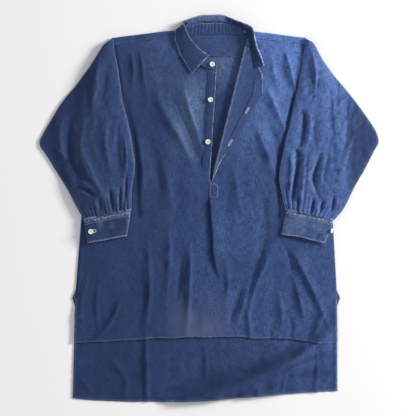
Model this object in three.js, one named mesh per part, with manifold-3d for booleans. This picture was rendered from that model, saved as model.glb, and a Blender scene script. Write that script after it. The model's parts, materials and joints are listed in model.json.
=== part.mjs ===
// A pull-over artist's smock of indigo work cloth, laid flat on its back on a table.
// Millimetres. X runs across the smock, Y up towards the collar, Z up from the table.
// The origin is on the table, under the middle of the laid-out smock.
import * as THREE from "three";
import { mergeVertices } from "three/addons/utils/BufferGeometryUtils.js";
import Module from "manifold-3d";

const wasm = await Module();
wasm.setup();
const { lerp, clamp, smoothstep, degToRad } = THREE.MathUtils;

// ---- Driving dimensions -------------------------------------------------------------------
const shoulderY = 427; // height on the table of the two shoulder points
const shoulderHalf = 243; // centre line to a shoulder point
const armpitHalf = 300;
const ventHalf = 327;
const hemHalf = 331;
const armholeDepth = 242; // each of these four is measured down from the shoulder points
const ventDepth = 649;
const frontLength = 755;
const backLength = 902;
const neckRise = 19; // how far the shoulder line climbs to the neck
const askew = 0.011; // the skirt drifts this share of its drop towards -X

const cloth = 1.2; // one layer of the body cloth
const facing = 1.0; // one layer of a facing, lining or band
const gap = 0.3; // clearance between pieces that are sewn or lie together
const loft = 5.8; // air between the back and the front

const yokeDepth = 47; // shoulder points down to the seam of the back yoke
const strapWidth = 18; // the yoke's strip in front of the shoulder fold

const elbowY = 165; // where a free sleeve folds
const elbowHalf = 424; // centre line to the widest point of a sleeve
const sleeveInnerHalf = 190; // centre line to a sleeve's inner fold at the elbow
const sleeveLoft = 14; // height of a sleeve along its middle
const sleeveEdge = 5; // height of a sleeve at its folded edges
const cuffHeight = 10; // height of a cuff as it lies

const buttonRadius = 6.35;
const buttonThickness = 2.4;
const buttonLift = 2.6; // cloth to the underside of a button
const holeSpread = 3.4; // between a button's two holes
const holeRadius = 1.0;
const threadRadius = 0.45;

const buttonholeLength = 15;
const buttonholeWidth = 2;
const tailFold = 772; // shoulder points down to the line where the longer back folds

// ---- The body's outline -------------------------------------------------------------------
const armpitY = shoulderY - armholeDepth;
const ventY = shoulderY - ventDepth;
const yokeSeamY = shoulderY - yokeDepth;
const frontHemY = shoulderY - frontLength;
const backHemY = shoulderY - backLength;
const tailFoldY = shoulderY - tailFold;
const frontLow = cloth + loft; // underside of the front
const frontHigh = frontLow + cloth;

// Straight runs between [place, value] pairs, in falling order of place.
function table(pairs, at) {
  if (at >= pairs[0][0]) return pairs[0][1];
  for (let i = 1; i < pairs.length; i++) {
    const [here, value] = pairs[i];
    const [before, earlier] = pairs[i - 1];
    if (at >= here) return lerp(value, earlier, (at - here) / (before - here));
  }
  return pairs[pairs.length - 1][1];
}

const widths = [
  [shoulderY, shoulderHalf],
  [armpitY, armpitHalf],
  [ventY, ventHalf],
  [backHemY, hemHalf],
];
const halfAt = (y) => table(widths, y);
const centreAt = (y) => -askew * Math.max(shoulderY - y, 0);
const sideAt = (side, y) => centreAt(y) + side * halfAt(y);
const neckHalf = 92;
const shoulderLine = (x) =>
  shoulderY + neckRise * clamp((shoulderHalf - Math.abs(x)) / (shoulderHalf - neckHalf), 0, 1);

// Underside of the front: low along the two side seams, level everywhere else.
function frontUnder(x, y) {
  const across = clamp(Math.abs(x - centreAt(y)) / halfAt(y), 0, 1);
  const belowArmpit = smoothstep(armpitY - y, 0, 60);
  const aboveVent = smoothstep(y - ventY, -60, 0);
  const seamed = belowArmpit * aboveVent;
  return cloth + gap + (loft - gap) * (1 - seamed * across ** 8);
}

// ---- Solids -------------------------------------------------------------------------------
function solidOf(geometry) {
  const bare = geometry.index ? geometry.toNonIndexed() : geometry.clone();
  bare.deleteAttribute("normal");
  bare.deleteAttribute("uv");
  const merged = mergeVertices(bare, 1e-4);
  const mesh = new wasm.Mesh({
    numProp: 3,
    vertProperties: merged.attributes.position.array,
    triVerts: new Uint32Array(merged.index.array),
  });
  return new wasm.Manifold(mesh);
}

function geometryOf(solid) {
  const mesh = solid.getMesh();
  const geometry = new THREE.BufferGeometry();
  geometry.setAttribute("position", new THREE.BufferAttribute(mesh.vertProperties, 3));
  geometry.setIndex(new THREE.BufferAttribute(mesh.triVerts, 1));
  return geometry;
}

const cut = (geometry, ...cutters) =>
  geometryOf(cutters.reduce((rest, cutter) => rest.subtract(solidOf(cutter)), solidOf(geometry)));
const join = (first, ...others) =>
  geometryOf(others.reduce((whole, other) => whole.add(solidOf(other)), solidOf(first)));

// A flat piece: its outline in plan, and the height of its underside.
function plate(points, low, thickness) {
  const outline = new THREE.Shape(points.map(([x, y]) => new THREE.Vector2(x, y)));
  const geometry = new THREE.ExtrudeGeometry(outline, { depth: thickness, bevelEnabled: false });
  return geometry.translate(0, 0, low);
}

// A block bent into place: place(u, v, w) gives the point for shares of its three sides.
function bent(across, along, place) {
  const geometry = new THREE.BoxGeometry(1, 1, 1, across, along, 1);
  const position = geometry.attributes.position;
  for (let i = 0; i < position.count; i++) {
    const u = position.getX(i) + 0.5;
    const v = position.getY(i) + 0.5;
    const w = position.getZ(i) + 0.5;
    position.setXYZ(i, ...place(u, v, w));
  }
  return geometry;
}

// The smooth curve through the lower (0) or upper (1) points of a band's stations.
const edgeCurve = (stations, end) =>
  new THREE.CatmullRomCurve3(stations.map((pair) => new THREE.Vector3(...pair[end])));

// A band between its two edge curves. Its layer runs from `near` to `far` along the band's
// normal, which on the neckband points into the neck.
function ribbon(stations, near, far) {
  const [lower, upper] = [edgeCurve(stations, 0), edgeCurve(stations, 1)];
  const steps = 3 * (stations.length - 1);
  return bent(steps, 2, (u, v, w) => {
    const [low, high] = [lower.getPoint(u), upper.getPoint(u)];
    const tangent = lower.getTangent(u).add(upper.getTangent(u));
    const normal = tangent.cross(high.clone().sub(low)).normalize();
    const point = low.lerp(high, v).addScaledVector(normal, lerp(near, far, w));
    return [point.x, point.y, point.z];
  });
}

const smock = new THREE.Group();
const indigo = 0x34507e;
const lining = 0x3d5a8c;
const pearl = 0xf0eee6;
const linenThread = 0xd8d2c2;

function add(name, geometry, color, roughness = 0.9, parent = smock) {
  const material = new THREE.MeshStandardMaterial({ color, roughness, metalness: 0 });
  const mesh = new THREE.Mesh(geometry, material);
  mesh.name = name;
  parent.add(mesh);
  return mesh;
}

// ---- Back: panel, folding tail, yoke and its lining ----------------------------------------
// The body's outline between two heights, as a closed polygon.
function bodyOutline(top, bottom) {
  const bends = widths.map(([y]) => y).filter((y) => y < top && y > bottom);
  const heights = [top, ...bends, bottom];
  const left = heights.map((y) => [sideAt(-1, y), y]);
  const right = heights.map((y) => [sideAt(1, y), y]).reverse();
  return [...left, ...right];
}

function backPieces() {
  add("back_panel", plate(bodyOutline(yokeSeamY - gap, tailFoldY), 0, cloth), indigo);

  const left = sideAt(-1, backHemY);
  const right = sideAt(1, backHemY);
  const hem = [
    [left, backHemY + 4],
    [lerp(left, right, 0.3), backHemY - 6],
    [lerp(left, right, 0.62), backHemY + 1],
    [right, backHemY + 17],
  ];
  const top = tailFoldY - gap;
  const tail = [[sideAt(-1, top), top], ...hem, [sideAt(1, top), top]];
  add("back_tail", plate(tail, 0, cloth), indigo);
}

// The yoke lies on the table, turns over the shoulder fold and ends in a strip in front.
// `inset` is how far its layer lies inside the outermost one.
function yokeLayer(inset, thickness) {
  const arcSteps = 6;
  const steps = arcSteps + 2;
  const foldRadius = frontHigh / 2 - inset;
  return bent(20, steps, (u, v, w) => {
    const x = lerp(-shoulderHalf, shoulderHalf, u);
    const radius = foldRadius - w * thickness;
    const foldY = shoulderLine(x) - frontHigh / 2;
    const step = Math.round(v * steps);
    if (step === 0) return [x, yokeSeamY, frontHigh / 2 - radius];
    if (step === steps) return [x, shoulderLine(x) - strapWidth, frontHigh / 2 + radius];
    const turn = ((step - 1) / arcSteps) * Math.PI;
    const out = Math.sin(turn) * radius;
    return [x, foldY + out, frontHigh / 2 - Math.cos(turn) * radius];
  });
}

const neckLeft = -72; // the two ends of the neckline on the shoulder
const neckRight = 97;
const backNeckY = shoulderY + neckRise - 6;

function yokePieces() {
  const boxFrom = (low, high) => {
    const size = high.map((value, i) => value - low[i]);
    const middle = high.map((value, i) => value - size[i] / 2);
    return new THREE.BoxGeometry(...size).translate(...middle);
  };
  const clear = 60;
  const overNeck = boxFrom(
    [neckLeft, yokeSeamY - clear, frontHigh / 2],
    [neckRight, shoulderY + clear, clear],
  );
  const backNeck = boxFrom(
    [neckLeft, backNeckY, -clear],
    [neckRight, shoulderY + clear, clear],
  );
  add("back_yoke", cut(yokeLayer(0, cloth), overNeck, backNeck), indigo);
  add("yoke_lining", cut(yokeLayer(cloth + gap, facing), overNeck, backNeck), lining);
}

// ---- Front: panel with its neck opening, folding tail, placket ------------------------------
const slitFoot = [5, 62]; // lowest point of the front opening
const foldFoot = [9, 78]; // the lapel's fold line, from its foot to the neckband
const foldHead = [92, 410];
const leftEdgeFoot = [2, 78]; // the button side of the opening
const leftEdgeHead = [19, 350];
const necklineLeft = [
  [neckLeft, 440],
  [-60, 413],
  [-43, 382],
  [-12, 358],
];

function frontPieces() {
  const topEdge = (x) => shoulderLine(x) - strapWidth - 2 * gap;
  const panel = bent(24, 12, (u, v, w) => {
    const level = lerp(ventY, topEdge(shoulderHalf), v);
    const x = lerp(sideAt(-1, level), sideAt(1, level), u);
    const y = lerp(ventY, topEdge(x), v);
    return [x, y, frontUnder(x, y) + w * cloth];
  });
  const opening = [
    slitFoot,
    foldFoot,
    foldHead,
    [neckRight, shoulderY + 2 * neckRise],
    [neckLeft, shoulderY + 2 * neckRise],
    ...necklineLeft,
    leftEdgeHead,
    leftEdgeFoot,
  ];
  add("front_panel", cut(panel, plate(opening, 0, 3 * frontHigh)), indigo);

  const hemAt = (u) => frontHemY + 8 - 15 * Math.abs(2 * u - 1) ** 2;
  const tail = bent(20, 3, (u, v, w) => {
    const y = lerp(hemAt(u), ventY - gap, v);
    const x = lerp(sideAt(-1, y), sideAt(1, y), u);
    return [x, y, frontUnder(x, y) + w * cloth];
  });
  add("front_tail", tail, indigo);
}

const edgePoint = (t) => leftEdgeFoot.map((value, i) => lerp(value, leftEdgeHead[i], t));
const bandWidth = 21;

function placketPieces() {
  // The button band lies along the left edge of the opening.
  const foot = edgePoint(0.06);
  const head = edgePoint(0.965);
  const strip = [foot, head, [head[0] - bandWidth, head[1]], [foot[0] - bandWidth, foot[1]]];
  add("button_band", plate(strip, frontHigh + gap, facing), lining);

  // The stay closes the foot of the opening: a small patch with a pointed top.
  const width = 22;
  const height = 38;
  const left = slitFoot[0] - 4;
  const low = slitFoot[1] - 34;
  const stay = [
    [left, low],
    [left + width, low],
    [left + width, low + height - 8],
    [left + width / 2, low + height],
    [left, low + height - 8],
  ];
  add("placket_stay", plate(stay, frontHigh + gap, facing), lining);
}

// ---- The lapel: the right front edge, turned back with its buttonhole band -----------------
const lapelLow = frontHigh + gap;
const lapelHigh = lapelLow + cloth;
const freeFoot = [16, 86];
const freeBend = [134, 288];
const freeHead = [133, 334];
const lapelSeamHead = [100, 396]; // where the lapel's seam to the neckband meets the fold
const holeBandLow = lapelHigh + gap;

// A stadium of the given length and width, as a shape or a hole.
function stadium(Kind, length, width) {
  const r = width / 2;
  const reach = length / 2 - r;
  const path = new Kind();
  path.absarc(reach, 0, r, -Math.PI / 2, Math.PI / 2, false);
  path.absarc(-reach, 0, r, Math.PI / 2, (3 * Math.PI) / 2, false);
  return path;
}

// Buttonhole stitching: a thread ring round a slit, lying flat at the given place.
function stitchRing(slit, slitWidth, border, height) {
  const shape = stadium(THREE.Shape, slit + 2 * border, slitWidth + 2 * border);
  shape.holes.push(stadium(THREE.Path, slit, slitWidth));
  return new THREE.ExtrudeGeometry(shape, { depth: height, bevelEnabled: false, curveSegments: 5 });
}

const slot = (length, width, depth) =>
  new THREE.ExtrudeGeometry(stadium(THREE.Shape, length, width), {
    depth,
    bevelEnabled: false,
    curveSegments: 5,
  });

const edgeAngle = Math.atan2(freeBend[1] - freeFoot[1], freeBend[0] - freeFoot[0]);
const alongFree = (t, inward) => {
  const x = lerp(freeFoot[0], freeBend[0], t) - inward * Math.sin(edgeAngle);
  return [x, lerp(freeFoot[1], freeBend[1], t) + inward * Math.cos(edgeAngle)];
};

// A point at share t of the fold line, moved out over the front by `out`.
const foldAngle = Math.atan2(foldHead[1] - foldFoot[1], foldHead[0] - foldFoot[0]);
const besideFold = (t, out) => [
  lerp(foldFoot[0], foldHead[0], t) + out * Math.sin(foldAngle),
  lerp(foldFoot[1], foldHead[1], t) - out * Math.cos(foldAngle),
];

function lapelPieces() {
  const outline = [
    besideFold(0.03, 2 * gap),
    freeFoot,
    freeBend,
    freeHead,
    lapelSeamHead,
    besideFold(0.96, 2 * gap),
  ];
  add("lapel", plate(outline, lapelLow, cloth), indigo);

  const bandFoot = 0.2;
  const band = [
    alongFree(bandFoot, 0),
    freeBend,
    freeHead,
    [freeHead[0] - bandWidth, freeHead[1]],
    alongFree(0.97, bandWidth),
    alongFree(bandFoot + 0.08, 12),
  ];
  const holes = [
    { name: "buttonhole_stitch_middle", t: 0.76, inward: 12 },
    { name: "buttonhole_stitch_lower", t: 0.37, inward: 8 },
  ];
  const placed = (geometry, { t, inward }, low) => {
    const [x, y] = alongFree(t, inward);
    return geometry.rotateZ(edgeAngle).translate(x, y, low);
  };
  const slots = holes.map((hole) =>
    placed(slot(buttonholeLength, buttonholeWidth, 4 * facing), hole, holeBandLow - facing),
  );
  add("buttonhole_band", cut(plate(band, holeBandLow, facing), ...slots), lining);
  const ringLow = holeBandLow + facing + gap;
  for (const hole of holes) {
    const ring = stitchRing(buttonholeLength, buttonholeWidth, 1.4, 0.6);
    add(hole.name, placed(ring, hole, ringLow), linenThread);
  }
}

// ---- Neckband and collar -------------------------------------------------------------------
const standFront = frontHigh + gap + facing + gap; // middle of the band's layers on the front
const standBack = cloth + 2 * (gap + facing) + 2 * gap; // and where it stands on the yoke behind
// [lower point, upper point], from the button end round the back to the shoulder on the right
const neckStations = [
  [[19, 347, standFront], [19, 368, 12.5]],
  [[-13, 354, standFront], [-2, 378, 14]],
  [[-46, 378, standFront], [-27, 403, 17]],
  [[-62, 411, standFront + 0.4], [-42, 428, 21]],
  [[-61, 434, 7.4], [-54, 454, 24]],
  [[-48, 438, standBack], [-48, 463, 23]],
  [[0, 437, standBack], [2, 462, 20]],
  [[50, 437, standBack], [55, 462, 20]],
  [[86, 434, standBack + 1], [92, 456, 21]],
];
// the same band past the shoulder, which turns back with the lapel
const lapelStations = [
  [[98.5, 424, lapelHigh + 1.8], [107, 430, 24]],
  [[104, 404, lapelHigh + 1.8], [118, 407, 24]],
  [[112, 380, lapelHigh + 1.8], [130, 384, 22]],
  [[122, 356, lapelHigh + 1.8], [139, 362, 17]],
  [[128, 341, lapelHigh + 1.8], [143, 347, 15]],
];

// The collar's fall, from its fold above the band down to its outer edge.
const fallThick = 2 * facing + gap;
const foldBack = [-62, 460, 29.8]; // the left leaf's fold line, its hinge
const foldFront = [2, 382, 19];
const outerEdge = [
  [-84, 446, 17],
  [-85, 422, 15],
  [-70, 383, 14.4],
  [-44, 336, 14.4],
];

function neckPieces() {
  add("neckband", ribbon(neckStations, -gap / 2 - facing, -gap / 2), indigo);
  add("neckband_facing", ribbon(neckStations, gap / 2, gap / 2 + facing), lining);
  add("neckband_right", ribbon(lapelStations, -gap / 2 - facing, -gap / 2), indigo);
  add("neckband_facing_right", ribbon(lapelStations, gap / 2, gap / 2 + facing), lining);
}

// One layer of the left leaf, between two depths below its upper face. The leaf is a little
// domed between its fold and its outer edge.
function leafLayer(top, bottom) {
  const last = outerEdge.length - 1;
  const start = 0.02; // the leaf starts just outside its hinge line
  const dome = 2;
  return bent(4 * last, 6, (u, v, w) => {
    const t = 1 - u;
    const i = Math.min(Math.floor(t * last), last - 1);
    const out = outerEdge[i].map((value, k) => lerp(value, outerEdge[i + 1][k], t * last - i));
    const fold = foldBack.map((value, k) => lerp(value, foldFront[k], t));
    const [x, y, z] = fold.map((value, k) => lerp(value, out[k], lerp(start, 1, v)));
    return [x, y, z + dome * Math.sin(Math.PI * v) - lerp(bottom, top, w)];
  });
}

function collarPieces() {
  add("collar_leaf_left", leafLayer(0, facing), indigo);
  add("under_collar_left", leafLayer(facing + gap, fallThick), lining);

  // Behind the neck the fall climbs from the band to its fold and drops to the table.
  const bandTop = edgeCurve(neckStations, 1);
  const shares = [0.64, 0.7, 0.76, 0.82, 0.88, 0.94, 1];
  const rise = shares.map((share) => {
    const { x, y, z } = bandTop.getPoint(share);
    return [x, y + 0.6, z + facing + 2 * gap];
  });
  const crest = rise.map(([x, y, z]) => [x, y + 13, z - 2]);
  const drop = crest.map(([x, y]) => [x, y + 1.6, 3]);
  const pair = (lower, upper) => lower.map((point, i) => [point, upper[i]]);
  add("collar_back", ribbon(pair(rise, crest), -facing, facing), indigo);
  const behind = crest.map(([x, y, z]) => [x, y + 0.8, z - facing - gap]);
  add("collar_fall_back", ribbon(pair(drop, behind), -facing, facing), lining);

  // The right leaf hangs steeply outside the band and is turned back with the lapel.
  const outside = lapelStations.map(([, [x, y, z]]) => [
    [x + 8, y + 1, lapelHigh + 1],
    [x + 2.2, y, z + 1],
  ]);
  add("collar_leaf_right", ribbon(outside, -facing, facing), indigo);
}

// ---- Sleeves -------------------------------------------------------------------------------
const rampStart = 25; // a sleeve stays at the front's level this far past the side seam
const rampRun = 35; // and comes down to the table over this run
const cuffTop = { inner: [194, -3], outer: [311, -27] };
const cuffEnds = {
  left: { inner: [206, -68], outer: [301, -85] },
  right: { inner: [176, -71], outer: [288, -85] },
};
const shoulderEnd = { inner: [246, 424], outer: [262, 410] };

function sleeveFloor(side, x, y) {
  const past = side * (x - sideAt(side, y));
  const over = 1 - clamp((past - rampStart) / rampRun, 0, 1);
  return (frontHigh + gap) * over;
}

// A flat tube between two cross lines: far (v = 1) and near (v = 0), each {inner, outer}.
// heightAt(t, v) is its height at share t of its width.
function flatTube(side, far, near, across, along, wall, heightAt, skin = 0) {
  const shell = (inset, reach) =>
    bent(across, along, (u, v, w) => {
      const t0 = side > 0 ? u : 1 - u;
      const stretched = lerp(-reach, 1 + reach, v);
      const inner = near.inner.map((value, i) => lerp(value, far.inner[i], stretched));
      const outer = near.outer.map((value, i) => lerp(value, far.outer[i], stretched));
      const width = Math.hypot(outer[0] - inner[0], outer[1] - inner[1]);
      const t = lerp(inset / width, 1 - inset / width, t0);
      const x = side * lerp(inner[0], outer[0], t);
      const y = lerp(inner[1], outer[1], t);
      const low = sleeveFloor(side, x, y) + inset;
      const high = low - inset + heightAt(t, clamp(stretched, 0, 1)) - inset;
      return [x, y, lerp(low, high, w)];
    });
  return cut(shell(skin, 0), shell(skin + wall, 0.04));
}

const domed = (t, middle, edge) => lerp(edge, middle, 1 - Math.abs(2 * t - 1) ** 3);

function sleevePieces(side, word) {
  const elbow = (y) => ({ inner: [sleeveInnerHalf, y], outer: [elbowHalf, y] });
  const upper = flatTube(side, shoulderEnd, elbow(elbowY + gap / 2), 10, 8, cloth, (t, v) =>
    domed(t, lerp(sleeveLoft, sleeveEdge, v * v), sleeveEdge),
  );
  // The armhole: the under layer is open beside the body, from the armpit up.
  const hole = bent(1, 1, (u, v, w) => {
    const y = lerp(armpitY + 12, armpitY + 150, v);
    const reach = lerp(42, 14, v);
    const x = sideAt(side, y) + side * lerp(6, 6 + reach, side > 0 ? u : 1 - u);
    return [x, y, lerp(-cloth, frontHigh + 2 * cloth, w)];
  });
  add(`upper_sleeve_${word}`, cut(upper, hole), indigo);

  const lower = flatTube(side, elbow(elbowY - gap / 2), cuffTop, 10, 8, cloth, (t, v) =>
    domed(t, lerp(cuffHeight, sleeveLoft, smoothstep(v, 0, 0.4)), lerp(cuffHeight, sleeveEdge, v)),
  );
  add(`lower_sleeve_${word}`, lower, indigo);
}

const towards = (from, to, distance) => {
  const length = Math.hypot(to[0] - from[0], to[1] - from[1]);
  return from.map((value, i) => value + ((to[i] - value) / length) * distance);
};

function cuffPieces(side, word) {
  const end = cuffEnds[word];
  const start = {
    inner: towards(cuffTop.inner, end.inner, gap),
    outer: towards(cuffTop.outer, end.outer, gap),
  };
  const level = () => cuffHeight;
  add(`cuff_${word}`, flatTube(side, start, end, 6, 2, cloth, level), indigo);
  const inner = cloth + gap;
  add(`cuff_facing_${word}`, flatTube(side, start, end, 6, 2, facing, level, inner), lining);
}

function gussetPieces(side, word) {
  const beside = (y, out) => [sideAt(side, y) + side * (gap + out), y];
  const order = (points) => (side > 0 ? points : points.reverse());
  const armpit = order([beside(armpitY - 32, 0), beside(armpitY, 36), beside(armpitY + 28, 0)]);
  add(`underarm_gusset_${word}`, plate(armpit, cloth + gap, cloth), indigo);
  const corner = beside(ventY, 0);
  const vent = order([beside(ventY - 20, 0), beside(ventY, 7), beside(ventY + 20, 0), corner]);
  add(`vent_gusset_${word}`, plate(vent, cloth + gap, cloth), indigo);
}

// ---- Buttons and their thread --------------------------------------------------------------
// A two-hole button with a rolled rim and a dished face, and the thread that holds it.
// Both are made standing on the origin, with the cloth at z = 0.
function buttonSolid() {
  const high = buttonLift + buttonThickness;
  const dish = 0.5;
  const rim = 0.6;
  const profile = [
    [0, buttonLift],
    [buttonRadius - rim, buttonLift],
    [buttonRadius, buttonLift + rim],
    [buttonRadius, high - rim],
    [buttonRadius - rim, high],
    [buttonRadius - 1.6, high],
    [buttonRadius - 2.6, high - dish],
    [0, high - dish],
  ];
  const disc = new THREE.LatheGeometry(
    profile.map(([r, z]) => new THREE.Vector2(r, z)),
    28,
  ).rotateX(Math.PI / 2);
  const hole = (side) =>
    new THREE.CylinderGeometry(holeRadius, holeRadius, 3 * high, 10)
      .rotateX(Math.PI / 2)
      .translate((side * holeSpread) / 2, 0, high);
  return cut(disc, hole(-1), hole(1));
}

function threadSolid() {
  const top = buttonLift + buttonThickness + 0.35;
  const rod = (radius, height) =>
    new THREE.CylinderGeometry(radius, radius, height, 8)
      .rotateX(Math.PI / 2)
      .translate(0, 0, height / 2);
  const legs = [-1, 1].map((side) =>
    rod(threadRadius, top - gap).translate((side * holeSpread) / 2, 0, gap),
  );
  const shank = rod(holeSpread / 2 + threadRadius, buttonLift - 3 * gap).translate(0, 0, gap);
  const bar = new THREE.CylinderGeometry(
    threadRadius,
    threadRadius,
    holeSpread + 2 * threadRadius,
    8,
  )
    .rotateZ(Math.PI / 2)
    .translate(0, 0, top);
  return join(shank, ...legs, bar);
}

// The button's seat: a point on the cloth, a turn in plan, and a lean to one side.
function sewButton(suffix, [x, y, z], turn = 0, leanOut = 0) {
  const seat = new THREE.Group();
  seat.position.set(x, y, z);
  seat.rotation.set(0, degToRad(leanOut), degToRad(turn), "ZYX");
  smock.add(seat);
  add(`button_${suffix}`, buttonSolid(), pearl, 0.3, seat);
  add(`button_thread_${suffix}`, threadSolid(), linenThread, 0.9, seat);
  return seat;
}

function buttons() {
  const bandTop = frontHigh + gap + facing;
  const onBand = (t) => [edgePoint(t)[0] - bandWidth / 2, edgePoint(t)[1], bandTop];
  sewButton("middle", onBand(0.714));
  sewButton("lower", onBand(0.328));
  sewButton("collar", [8, 360, standFront + facing + 2.2]);

  const cuffTopZ = frontHigh + gap + cuffHeight;
  const [leftIn, leftOut] = [cuffEnds.left.inner, cuffEnds.left.outer];
  const leftTurn = (Math.atan2(leftIn[1] - leftOut[1], leftOut[0] - leftIn[0]) * 180) / Math.PI;
  const seat = [-(leftOut[0] - 8), (cuffTop.outer[1] + leftOut[1]) / 2, cuffTopZ];
  const cuffSeat = sewButton("cuff_left", seat, leftTurn);
  const ring = stitchRing(buttonholeLength + 1, 2 * threadRadius + holeSpread + 2 * gap, 1.4, 0.6);
  add("buttonhole_stitch_cuff_left", ring.translate(4, 0, gap), linenThread, 0.9, cuffSeat);

  // On the right cuff the button faces out over the folded edge.
  const out = cuffTop.outer.map((value, i) => lerp(value, cuffEnds.right.outer[i], 0.45));
  const height = frontHigh + gap + 0.62 * cuffHeight;
  sewButton("cuff_right", [out[0] + 1.2, out[1], height], -14, 66);
}

backPieces();
yokePieces();
frontPieces();
placketPieces();
lapelPieces();
neckPieces();
collarPieces();
for (const [side, word] of [
  [-1, "left"],
  [1, "right"],
]) {
  sleevePieces(side, word);
  cuffPieces(side, word);
  gussetPieces(side, word);
}
buttons();

export default smock;
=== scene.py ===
# A pull-over artist's smock of indigo work cloth, laid flat on its back on a pale table.
# Shapes are worked out in millimetres, X across, Y towards the collar, Z up, and become metres in the mesh.
import json
import math

import bmesh
import bpy
import numpy as np
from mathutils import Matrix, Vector
from mathutils.bvhtree import BVHTree


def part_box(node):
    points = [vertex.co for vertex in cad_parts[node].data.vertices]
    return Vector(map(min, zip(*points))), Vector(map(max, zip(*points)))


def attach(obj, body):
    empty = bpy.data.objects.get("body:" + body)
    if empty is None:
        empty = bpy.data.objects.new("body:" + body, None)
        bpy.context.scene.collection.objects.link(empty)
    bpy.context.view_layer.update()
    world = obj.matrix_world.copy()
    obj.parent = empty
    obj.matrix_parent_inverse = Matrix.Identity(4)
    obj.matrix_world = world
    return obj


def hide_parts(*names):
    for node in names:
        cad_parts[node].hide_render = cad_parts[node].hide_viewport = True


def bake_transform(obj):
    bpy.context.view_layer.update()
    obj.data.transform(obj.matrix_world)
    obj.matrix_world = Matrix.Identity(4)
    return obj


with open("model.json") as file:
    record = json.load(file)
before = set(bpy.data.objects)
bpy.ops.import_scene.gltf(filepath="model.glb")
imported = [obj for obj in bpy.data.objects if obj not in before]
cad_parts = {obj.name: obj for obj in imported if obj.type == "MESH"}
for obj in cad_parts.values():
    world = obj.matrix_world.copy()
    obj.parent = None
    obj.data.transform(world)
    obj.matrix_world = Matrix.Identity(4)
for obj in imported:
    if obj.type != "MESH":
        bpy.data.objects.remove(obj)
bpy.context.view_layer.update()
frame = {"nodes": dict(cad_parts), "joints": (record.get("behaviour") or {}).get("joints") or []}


def corners(node):
    low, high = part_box(node)
    return np.array(low) * 1000, np.array(high) * 1000


yokeLow, yokeHigh = corners("back_yoke")
frontLow, frontHigh = corners("front_panel")
tailLow, tailHigh = corners("front_tail")
backLow, backHigh = corners("back_tail")
gussetLow, gussetHigh = corners("underarm_gusset_right")

neckRise = 19  # the shoulder line climbs this much to the neck
shoulderHalf = yokeHigh[0]
shoulderY = yokeHigh[1] - neckRise
yokeSeamY = yokeLow[1]
armpitY = gussetLow[1] + 32
gussetDepth = 36
ventY = frontLow[1]
frontTop = frontHigh[2]  # the upper side of the front where it lies level
backHemY = backLow[1]

sideY = [backHemY, ventY, armpitY, shoulderY]
rightX = [backHigh[0], frontHigh[0], gussetHigh[0] - gussetDepth, shoulderHalf]
leftX = [backLow[0], frontLow[0], corners("underarm_gusset_left")[0][0] + gussetDepth, -shoulderHalf]


def sideAt(side, y):
    return np.interp(y, sideY, rightX if side > 0 else leftX)


def shoulderLine(x):  # level over the neck, falling to the shoulder points
    neckHalf = 92
    fall = (np.abs(x) - neckHalf) / (shoulderHalf - neckHalf)
    return shoulderY + neckRise * (1 - np.clip(fall, 0, 1))


def smooth(t):  # 3t^2 - 2t^3, held at 0 and 1
    t = np.clip(t, 0, 1)
    return t * t * (3 - 2 * t)


def clouds(x, y, pitchX, pitchY, seed):
    # smooth noise from -1 to 1: random heights on a lattice of that pitch, joined by smooth()
    size = 61
    table = np.random.default_rng(seed).uniform(-1, 1, (size, size))
    u, v = x / pitchX + 500.3, y / pitchY + 500.7
    i, j = np.floor(u).astype(int), np.floor(v).astype(int)
    s, t = smooth(u - i), smooth(v - j)
    near = table[i % size, j % size] * (1 - s) + table[(i + 1) % size, j % size] * s
    far = table[i % size, (j + 1) % size] * (1 - s) + table[(i + 1) % size, (j + 1) % size] * s
    return near * (1 - t) + far * t


def smoothPath(points, count):
    # a Catmull-Rom curve through the points: 0.5 (2b + (c-a)t + (2a-5b+4c-d)t^2 + (3b-a-3c+d)t^3)
    p = np.array(points, float)
    p = np.vstack([2 * p[0] - p[1], p, 2 * p[-1] - p[-2]])
    u = np.linspace(0, len(points) - 1, count)
    i = np.minimum(u.astype(int), len(points) - 2)
    t = (u - i)[:, None]
    a, b, c, d = p[i], p[i + 1], p[i + 2], p[i + 3]
    return 0.5 * (2 * b + (c - a) * t + (2 * a - 5 * b + 4 * c - d) * t**2 + (3 * b - a - 3 * c + d) * t**3)


def evenPath(path, step):  # points one step apart along a polyline
    run = np.concatenate([[0], np.cumsum(np.linalg.norm(np.diff(path, axis=0), axis=1))])
    at = np.arange(step / 2, run[-1], step)
    return np.stack([np.interp(at, run, path[:, k]) for k in range(path.shape[1])], 1)


def alongPath(x, y, points, samples=22):
    # for every (x, y): signed distance to the smooth path, and the share of the path at the nearest point
    path = smoothPath(points, samples)
    a, b = path[:-1], path[1:]
    step = b - a
    flat = np.stack([x.ravel(), y.ravel()], 1)
    rel = flat[:, None, :] - a[None]
    t = np.clip((rel * step).sum(2) / (step**2).sum(1), 0, 1)
    off = rel - t[..., None] * step
    gap = np.hypot(off[..., 0], off[..., 1])
    best = gap.argmin(1)
    row = np.arange(len(flat))
    cross = step[best, 0] * off[row, best, 1] - step[best, 1] * off[row, best, 0]
    signed = np.where(cross < 0, gap[row, best], -gap[row, best])
    return signed.reshape(x.shape), ((best + t[row, best]) / len(step)).reshape(x.shape)


def fold(x, y, points, height, width, lean=0.0, fade=0.3):
    # height * exp(-(d / width)^1.5), rising and dying as 4 s (1 - s) along the path; its width wanders a
    # little, and lean makes the flank on the right wider
    d, share = alongPath(x, y, points)
    spread = width * np.where(d > 0, 1 + lean, 1 - lean) * (0.85 + 0.35 * clouds(x, y, 25, 25, 7))
    ends = np.clip(4 * share * (1 - share), 0, 1) ** (5 * fade)
    return 1.15 * height * np.exp(-np.abs(d / spread) ** 1.5) * ends


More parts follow.
